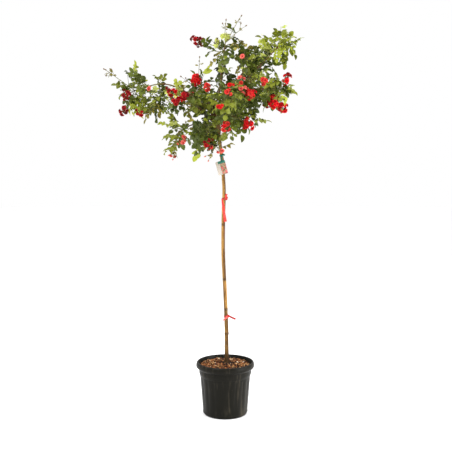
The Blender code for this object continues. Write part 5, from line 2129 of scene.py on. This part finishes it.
def build_tie(name, height, bearing, knot_size, tails):
    """A tape tie: two turns round the trunk, a pinched knot at a bearing, and its tails.

    A tail is its start and end, across and up from the trunk's centre at the tie, how far it
    sags, its width at both ends and its shade.
    """
    pile = Pile()
    centre = np.array(trunk_centre(height))
    radius = trunk_radius(height)
    for turn, rise in ((0, 0.003), (1, -0.004)):
        path = wrap_points(height + 0.001 * turn, radius + 0.0012 + 0.0004 * turn, 358, rise)
        width = TAPE_WIDTH * (0.50 + 0.10 * np.sin(np.linspace(0, 9, len(path)) + turn))
        add_ribbon(pile, path, (0, 0, 1), width, TAPE_FILM, turn)
    knot = centre + np.array(bearing_vector(bearing)) * (radius + KNOT_RADIUS * 0.7)
    knot = knot + (0, 0, knot_size / 3)
    for turn in range(KNOT_LOOPS):
        angles = np.linspace(0, math.tau * 0.98, 18) + turn * 0.9
        bob = np.sin(angles + turn) * knot_size
        loop = np.column_stack([np.cos(angles) * 0.0040, np.sin(angles) * 0.0034, bob])
        spin = Matrix.Rotation(turn * 0.5 - 0.7, 3, "Y") @ Matrix.Rotation(turn * 0.8, 3, "Z")
        path = knot + loop @ np.array(spin).T
        add_ribbon(pile, path, (0.3 * turn, 0.4, 1), KNOT_TAPE, TAPE_FILM, turn % 2)
    steps = np.linspace(0, 1, 24)
    for start, end, sag, widths, shade in tails:
        x = start[0] + (end[0] - start[0]) * steps**1.3
        z = start[1] + (end[1] - start[1]) * steps - sag * np.sin(steps * math.pi)
        proud = radius * (1 - 0.6 * np.minimum(1.0, (x / radius) ** 2))
        y = -proud - 0.0018 - 0.0025 * steps + 0.0005 * np.sin(steps * 17)
        path = centre + np.column_stack([x, y, z])
        twist = 0.35 * np.sin(steps * 2.6)
        outward = np.column_stack([np.sin(twist), -np.cos(twist), np.zeros(len(steps))])
        across = np.cross(np.gradient(path, axis=0), outward)
        width = widths[0] + (widths[1] - widths[0]) * steps
        add_ribbon(pile, path, across, width, TAPE_FILM, shade)
    return pile.build(name, [tape_finish(*shade) for shade in TAPE_SHADES], 50)


def build_ties():
    """The upper tie with its long flat tail, and the lower one with two short tails."""
    upper = build_tie("tie_upper_tape", UPPER_TIE_HEIGHT, -25, 0.0085, (
        ((-0.0070, 0.001), (0.0085, -0.118), 0.0, (0.0105, 0.0155), 0),
        ((0.0080, 0.006), (0.0155, 0.024), 0.0, (0.0080, 0.0100), 0),
    ))
    lower = build_tie("tie_lower_tape", LOWER_TIE_HEIGHT, -30, 0.0050, (
        ((0.0060, 0.010), (0.0500, -0.014), 0.000, (0.0085, 0.0100), 1),
        ((0.0110, 0.003), (-0.0160, -0.021), -0.002, (0.0085, 0.0070), 2),
    ))
    finished(upper, "tape", "tie_upper")
    finished(lower, "tape", "tie_lower")


LABEL_ROWS = 17  # of points in each of the label's two sheets
LABEL_COLUMNS = 13
LABEL_FOLD = 0.0045  # how far the fold stands out
LABEL_BOW = 0.0035  # how far the top and bottom edges lie back
LABEL_CURL = 0.003  # how far the printed half's lower corner turns back
STRAP_FILM = 0.0009


def label_sheets(top, across, down, out):
    """The back and front sheets of the folded card, row by row from its top edge."""
    sheets = []
    for side in (-1, 1):
        for row in range(LABEL_ROWS):
            v = row / (LABEL_ROWS - 1)
            for column in range(LABEL_COLUMNS):
                u = column / (LABEL_COLUMNS - 1) * 2 - 1
                rounded = 1 - 0.06 * max(0.0, abs(v - 0.5) * 2 - 0.86) / 0.14
                fold = LABEL_FOLD * (1 - abs(u + 0.06)) - LABEL_BOW * (v - 0.5) ** 2 * 4
                curl = LABEL_CURL * max(0.0, u) ** 2 * v
                place = top + down * TAG_HEIGHT * v + across * TAG_WIDTH / 2 * u * rounded
                sheets.append(place + out * (fold - curl + side * TAG_THICKNESS * 0.22))
    return np.array(sheets)


def label_rim():
    """The points round a sheet's edge, in order."""
    rows, columns = LABEL_ROWS, LABEL_COLUMNS
    rim = list(range(columns))
    rim += [row * columns + columns - 1 for row in range(1, rows)]
    rim += [(rows - 1) * columns + column for column in range(columns - 2, -1, -1)]
    return rim + [row * columns for row in range(rows - 2, 0, -1)]


def label_part(row, column):
    """The finish of a face of the front sheet: plain card, print or the green upper edge."""
    if row < 3 and column > 2:
        return 2
    return 1 if column >= 5 else 0


def build_label():
    """A folded plant label on a strap: a plain half, a printed half and a green upper edge."""
    own = settings("trim")
    front = trunk_centre(TAG_HANGER_HEIGHT)
    front = front - Vector((0, trunk_radius(TAG_HANGER_HEIGHT) + 3 * GAP + TAG_THICKNESS / 2, 0))
    front = np.array(front)
    turn = Matrix.Rotation(TAG_TURN, 3, "Y")
    down = np.array(turn @ -UP)
    across = np.array(turn @ Vector((1, 0, 0)))
    out = np.cross(down, across)
    out = out if out[1] < 0 else -out
    hole = front + (0, -0.004, -TAG_STRAP)
    points = label_sheets(hole - across * TAG_HOLE, across, down, out)
    faces = grid_faces(LABEL_ROWS, LABEL_COLUMNS)
    size = LABEL_ROWS * LABEL_COLUMNS
    pile = Pile()
    pile.add(points, faces[:, ::-1], 0)
    for face in faces:
        shade = label_part(face[0] // LABEL_COLUMNS, face[0] % LABEL_COLUMNS)
        pile.add(points[face + size], np.array([(0, 1, 2, 3)]), shade)
    rim = label_rim()
    edge = [(low, high, size + high, size + low) for low, high in zip(rim, rim[1:] + rim[:1])]
    pile.add(points, np.array(edge), 0)
    loop = wrap_points(TAG_HANGER_HEIGHT, trunk_radius(TAG_HANGER_HEIGHT) + 0.0010, 359, 0.0)
    add_ribbon(pile, loop, (0, 0, 1), TAG_HANGER_WIDTH * 0.9, STRAP_FILM, 3)
    end = hole + down * 0.004 + out * 0.005
    strap = [front + (0, -0.0008, 0.004), front + (0, -0.0030, -0.010), end]
    add_ribbon(pile, strap, across, TAG_HANGER_WIDTH * 0.8, STRAP_FILM, 3)
    tab = front + np.array(((0.002, -0.001, 0.002), (0.010, -0.004, 0.006), (0.017, -0.005, 0.001)))
    add_ribbon(pile, tab, (0, 0.3, 1), 0.009, 0.0008, 3)
    strap_finish = green_finish("label_strap", tuple(own.strap), 0.4)
    edge_finish = green_finish("label_edge", tuple(own.strap), 0.42)
    finishes = [card_finish(), print_finish(), edge_finish, strap_finish]
    return finished(pile.build("hang_label", finishes, 40), "label", "hang_tag")


# Stage.

FLOOR_REACH = 40.0
FLOOR_GLOW = 0.035  # so that the far floor is as pale as the sky
EYE = (0.004, -3.4, 1.176)
EYE_TILT = math.radians(90 - 3.343)
EYE_LENS = 52.65
LIGHTS = (  # each light's name, place, size and power beside the key light's
    ("key", (-2.2, -2.4, 3.6), 2.0, 1.0),
    ("side", (3.0, -0.6, 2.4), 1.6, 0.45),
    ("low_side", (2.5, -1.3, 0.7), 1.2, 0.35),
    ("back", (0.8, 2.6, 3.6), 1.8, 0.50),
)


def add_light(name, place, size, power):
    """A soft light that looks at the plant."""
    light = bpy.data.lights.new(name, "AREA")
    light.size = size
    light.energy = power
    lamp = bpy.data.objects.new(name, light)
    lamp.location = place
    aim = Vector((0, 0, min(1.3, place[2] * 0.5)))
    lamp.rotation_euler = (aim - Vector(place)).to_track_quat("-Z", "Y").to_euler()
    bpy.context.scene.collection.objects.link(lamp)


def build_stage():
    """A wide pale floor, an even sky, soft lights and the camera."""
    own = settings("stage")
    sides = 96
    rim = np.column_stack([unit_circle(sides) * FLOOR_REACH, np.zeros(sides)])
    points = np.concatenate([rim, [[0.0, 0.0, 0.0]]])
    pile = Pile()
    pile.add(points, np.array([(side, (side + 1) % sides, sides, -1) for side in range(sides)]))
    made = Finish("pale_stage", roughness=0.9, emission_strength=FLOOR_GLOW)
    drift = made.noise(1.5, detail=2.0)
    pale = linear(own.floor)
    made.colour(made.mix(drift, pale, tuple(c * 0.985 for c in pale)))
    floor = pile.build("stage_floor", [made.material])
    floor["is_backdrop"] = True
    scene = bpy.context.scene
    scene.view_settings.view_transform = "Standard"
    world = bpy.data.worlds.new("even_sky")
    world.use_nodes = True
    sky = world.node_tree.nodes["Background"].inputs
    sky["Color"].default_value = (1, 1, 1, 1)
    sky["Strength"].default_value = own.sky
    scene.world = world
    for name, place, size, share in LIGHTS:
        add_light(name, place, size, own.key_power * share)
    camera = bpy.data.cameras.new("camera")
    camera.sensor_width = 36
    camera.lens = EYE_LENS
    camera.clip_end = 2 * FLOOR_REACH
    eye = bpy.data.objects.new("camera", camera)
    eye.location = EYE
    eye.rotation_euler = (EYE_TILT, 0, 0)
    scene.collection.objects.link(eye)
    scene.camera = eye


# Operators and panel.


class ROSE_OT_stage(bpy.types.Operator):
    """Build the floor, the lights and the camera"""

    bl_idname = "rose.stage"
    bl_label = "Build Stage"

    def execute(self, context):
        build_stage()
        return {"FINISHED"}


class ROSE_OT_pot(bpy.types.Operator):
    """Build the nursery pot"""

    bl_idname = "rose.pot"
    bl_label = "Build Pot"

    def execute(self, context):
        build_pot()
        return {"FINISHED"}


class ROSE_OT_mulch(bpy.types.Operator):
    """Build the bed of bark mulch in the pot"""

    bl_idname = "rose.mulch"
    bl_label = "Build Mulch"

    def execute(self, context):
        build_mulch()
        return {"FINISHED"}


class ROSE_OT_trunk(bpy.types.Operator):
    """Build the bare stem and its graft"""

    bl_idname = "rose.trunk"
    bl_label = "Build Trunk"

    def execute(self, context):
        build_trunk()
        return {"FINISHED"}


class ROSE_OT_canes(bpy.types.Operator):
    """Build the canes of the crown"""

    bl_idname = "rose.canes"
    bl_label = "Build Canes"

    def execute(self, context):
        build_canes()
        return {"FINISHED"}


class ROSE_OT_twigs(bpy.types.Operator):
    """Build the stems, shoots and twigs"""

    bl_idname = "rose.twigs"
    bl_label = "Build Twigs"

    def execute(self, context):
        build_twigs()
        return {"FINISHED"}


class ROSE_OT_leaves(bpy.types.Operator):
    """Build the leaves and their stalks"""

    bl_idname = "rose.leaves"
    bl_label = "Build Leaves"

    def execute(self, context):
        build_leaves()
        return {"FINISHED"}


class ROSE_OT_blooms(bpy.types.Operator):
    """Build the blooms and buds"""

    bl_idname = "rose.blooms"
    bl_label = "Build Blooms"

    def execute(self, context):
        build_blooms()
        return {"FINISHED"}


class ROSE_OT_ties(bpy.types.Operator):
    """Build the two tape ties"""

    bl_idname = "rose.ties"
    bl_label = "Build Ties"

    def execute(self, context):
        build_ties()
        return {"FINISHED"}


class ROSE_OT_label(bpy.types.Operator):
    """Build the plant label and its strap"""

    bl_idname = "rose.label"
    bl_label = "Build Label"

    def execute(self, context):
        build_label()
        return {"FINISHED"}


OPERATORS = (
    ROSE_OT_stage,
    ROSE_OT_pot,
    ROSE_OT_mulch,
    ROSE_OT_trunk,
    ROSE_OT_canes,
    ROSE_OT_twigs,
    ROSE_OT_leaves,
    ROSE_OT_blooms,
    ROSE_OT_ties,
    ROSE_OT_label,
)


class ROSE_PT_pieces(bpy.types.Panel):
    """Lists the settings and the builders of the plant's pieces"""

    bl_idname = "ROSE_PT_pieces"
    bl_label = "Potted Weeping Rose"
    bl_space_type = "VIEW_3D"
    bl_region_type = "UI"
    bl_category = "Rose"

    def draw(self, context):
        for name, group in SETTINGS.items():
            box = self.layout.box()
            for key in group.__annotations__:
                box.prop(getattr(context.scene, name), key)
        for operator in OPERATORS:
            self.layout.operator(operator.bl_idname)


CLASSES = (*SETTINGS.values(), *OPERATORS, ROSE_PT_pieces)


def register():
    for item in CLASSES:
        bpy.utils.register_class(item)
    for name, group in SETTINGS.items():
        setattr(bpy.types.Scene, name, PointerProperty(type=group))


def unregister():
    for name in SETTINGS:
        delattr(bpy.types.Scene, name)
    for item in reversed(CLASSES):
        bpy.utils.unregister_class(item)


def plain(box):
    return [[float(value) for value in corner] for corner in box]


def main():
    register()
    bpy.ops.rose.stage()
    bpy.ops.rose.pot()
    bpy.ops.rose.mulch()
    bpy.ops.rose.trunk()
    bpy.ops.rose.canes()
    bpy.ops.rose.twigs()
    bpy.ops.rose.leaves()
    bpy.ops.rose.blooms()
    bpy.ops.rose.ties()
    bpy.ops.rose.label()
    bpy.context.view_layer.update()
    {"cad": plain(CAD_BOX), "visual": plain(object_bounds())}


if __name__ == "__main__":
    main()
